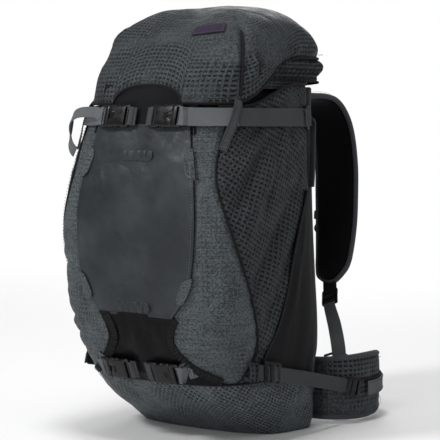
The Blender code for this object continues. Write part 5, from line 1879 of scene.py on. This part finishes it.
def build_sternum(sign, side, path, out):
    """Rail, strap and buckle half of the sternum strap."""
    points = [(sign * 0.062, 0.2675, 0.380), (sign * 0.058, 0.2680, 0.362),
              (sign * 0.057, 0.2680, 0.335), (sign * 0.057, 0.2675, 0.303)]
    strap = strap_shape(points, [(0, 1, 0)] * 4, NARROW_WEBBING, 50)
    sewn(f"sternum_webbing_{side}", [strap], "webbing", f"sternum_{side}",
         f"sternum_strap_{side}")
    end = np.array([sign * 0.057, 0.2673, 0.2865])
    if sign < 0:
        hardware("sternum_female", socket_shape, (NARROW_WEBBING, BUCKLE_LENGTH),
                 frame_of((0, 0, -1), (0, 1, 0)), end, "sternum_left", "sternum_buckle_left")
    else:
        hardware("sternum_male", plug_shape, (NARROW_WEBBING, BUCKLE_LENGTH),
                 frame_of((0, 0, 1), (0, 1, 0)), end + np.array([0, 0, -0.0145 + 0.017]),
                 "sternum_right", "sternum_buckle_right")
    rail_points = [path[k] + out[k] * 0.0092 for k in (44, 50, 56, 62)]
    rail = strap_shape(rail_points, [out[k] for k in (44, 50, 56, 62)], 0.008, 40, 0.0018)
    sewn(f"sternum_rail_{side}", [rail], "dark_webbing", f"shoulder_{side}")


def finish_belt(pad, sign, side):
    """Give the belt its two fabrics and weave directions, then its bindings and band."""
    path = smooth_path(mirror_x(BELT_PATH, sign), 200)
    steps = distances(path)
    mesh = pad.data
    points = coordinates(mesh)
    nearest, _ = near_path(points, path)
    layer = mesh.uv_layers.new(name="UVMap")
    corner = np.empty(len(mesh.loops), np.int64)
    mesh.loops.foreach_get("vertex_index", corner)
    uv = np.stack([steps[nearest], points[:, 2]], axis=1)[corner]
    layer.data.foreach_set("uv", uv.astype(np.float32).ravel())
    mesh.materials.append(MATERIALS["ripstop"])
    mesh.materials.append(MATERIALS["mesh_padding"])
    run = np.gradient(path, axis=0)
    outward = np.stack([run[:, 1], -run[:, 0], run[:, 2] * 0], axis=1) * sign
    centres = np.array([p.center for p in mesh.polygons])
    normals = np.array([p.normal for p in mesh.polygons])
    spots, _ = near_path(centres, path)
    inward = (normals * unit(outward[spots])).sum(axis=1) < -0.25
    mesh.polygons.foreach_set("material_index", inward.astype(np.int32))
    mesh.update()
    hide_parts(f"belt_root_{side}", f"hip_wing_{side}")
    frame_path, _, out, spans = pad_frame(*sided(BELT, sign), 110)
    towards = smooth_path(mirror_x(BELT_FACES, sign), 110)
    face = unit(out * np.sign((out * towards).sum(axis=1, keepdims=True)))
    up = np.array([0, 0, 1.0])
    shapes = [sweep_mesh(frame_path + up * (spans / 2 - 0.0030)[:, None] * s, face,
                         ring_profile(0.0085, 0.0100, 12)) for s in (1, -1)]
    binding = joined(f"belt_binding_{side}", shapes, "binding")
    line = sweep_mesh(frame_path[6:] + up * 0.009 + face[6:] * 0.0066, face[6:],
                      ring_profile(0.0030, 0.0030))
    piping = joined(f"belt_piping_{side}", [line], "piping")
    tape = sweep_mesh(frame_path[47:] - up * 0.0040 + face[47:] * 0.0092, face[47:],
                      tape_profile(0.0210, 0.0018))
    band = joined(f"belt_band_{side}", [tape], "webbing")
    rows = [stitch_shapes(frame_path + up * (spans / 2 - 0.0085)[:, None] * s + face * 0.0068,
                          face, 0.0026, 0.0016) for s in (1, -1)]
    rows += [stitch_shapes(frame_path[49:] + up * z + face[49:] * 0.0103, face[49:], 0.0022,
                           0.0014) for z in (0.0045, -0.0125)]
    stitches = joined(f"belt_stitching_{side}", rows, "dark_thread")
    for piece in (pad, binding, piping, band, stitches):
        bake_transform(piece)
    build_belt_buckle(sign, side)


def build_belt_buckle(sign, side):
    webbing = mirror_x([(0.1290, 0.2890, 0.057), (0.1200, 0.2900, 0.057), (0.106, 0.2925, 0.057),
                        (0.0885, 0.2955, 0.057)], sign)
    facing = mirror_x([(0.4, 1, 0), (0.3, 1, 0), (0.2, 1, 0), (0.2, 1, 0)], sign)
    strap = strap_shape(webbing, facing, BELT_WEBBING, 40, 0.0020)
    sewn(f"belt_front_webbing_{side}", [strap], "webbing", f"wing_{side}",
         f"belt_webbing_{side}")
    centre = np.array([sign * 0.0640, 0.2990, 0.057])
    length = 0.044
    if sign < 0:
        hardware("belt_female", socket_shape, (BELT_WEBBING, length),
                 frame_of((1, 0.15, 0), (-0.15, 1, 0)), centre, "wing_left", "belt_buckle_left")
    else:
        axis = unit(np.array([1, -0.15, 0]))
        hardware("belt_male", plug_shape, (BELT_WEBBING, length),
                 frame_of((1, -0.15, 0), (0.15, 1, 0)),
                 centre - np.array([0.0125, -0.0019, 0]) + axis * length / 2, "wing_right",
                 "belt_buckle_right")


build_stage()
build_panels()
build_base()
build_shields()
build_seams()
build_collar()
build_lid()
build_haul_loop()
for strap_sign, strap_side in SIDES:
    build_compression(strap_sign, strap_side)
    build_stabiliser(strap_sign, strap_side)
build_padding()
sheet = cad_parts["frame_sheet"]
sheet.data.materials.clear()
sheet.data.materials.append(MATERIALS["frame_plastic"])
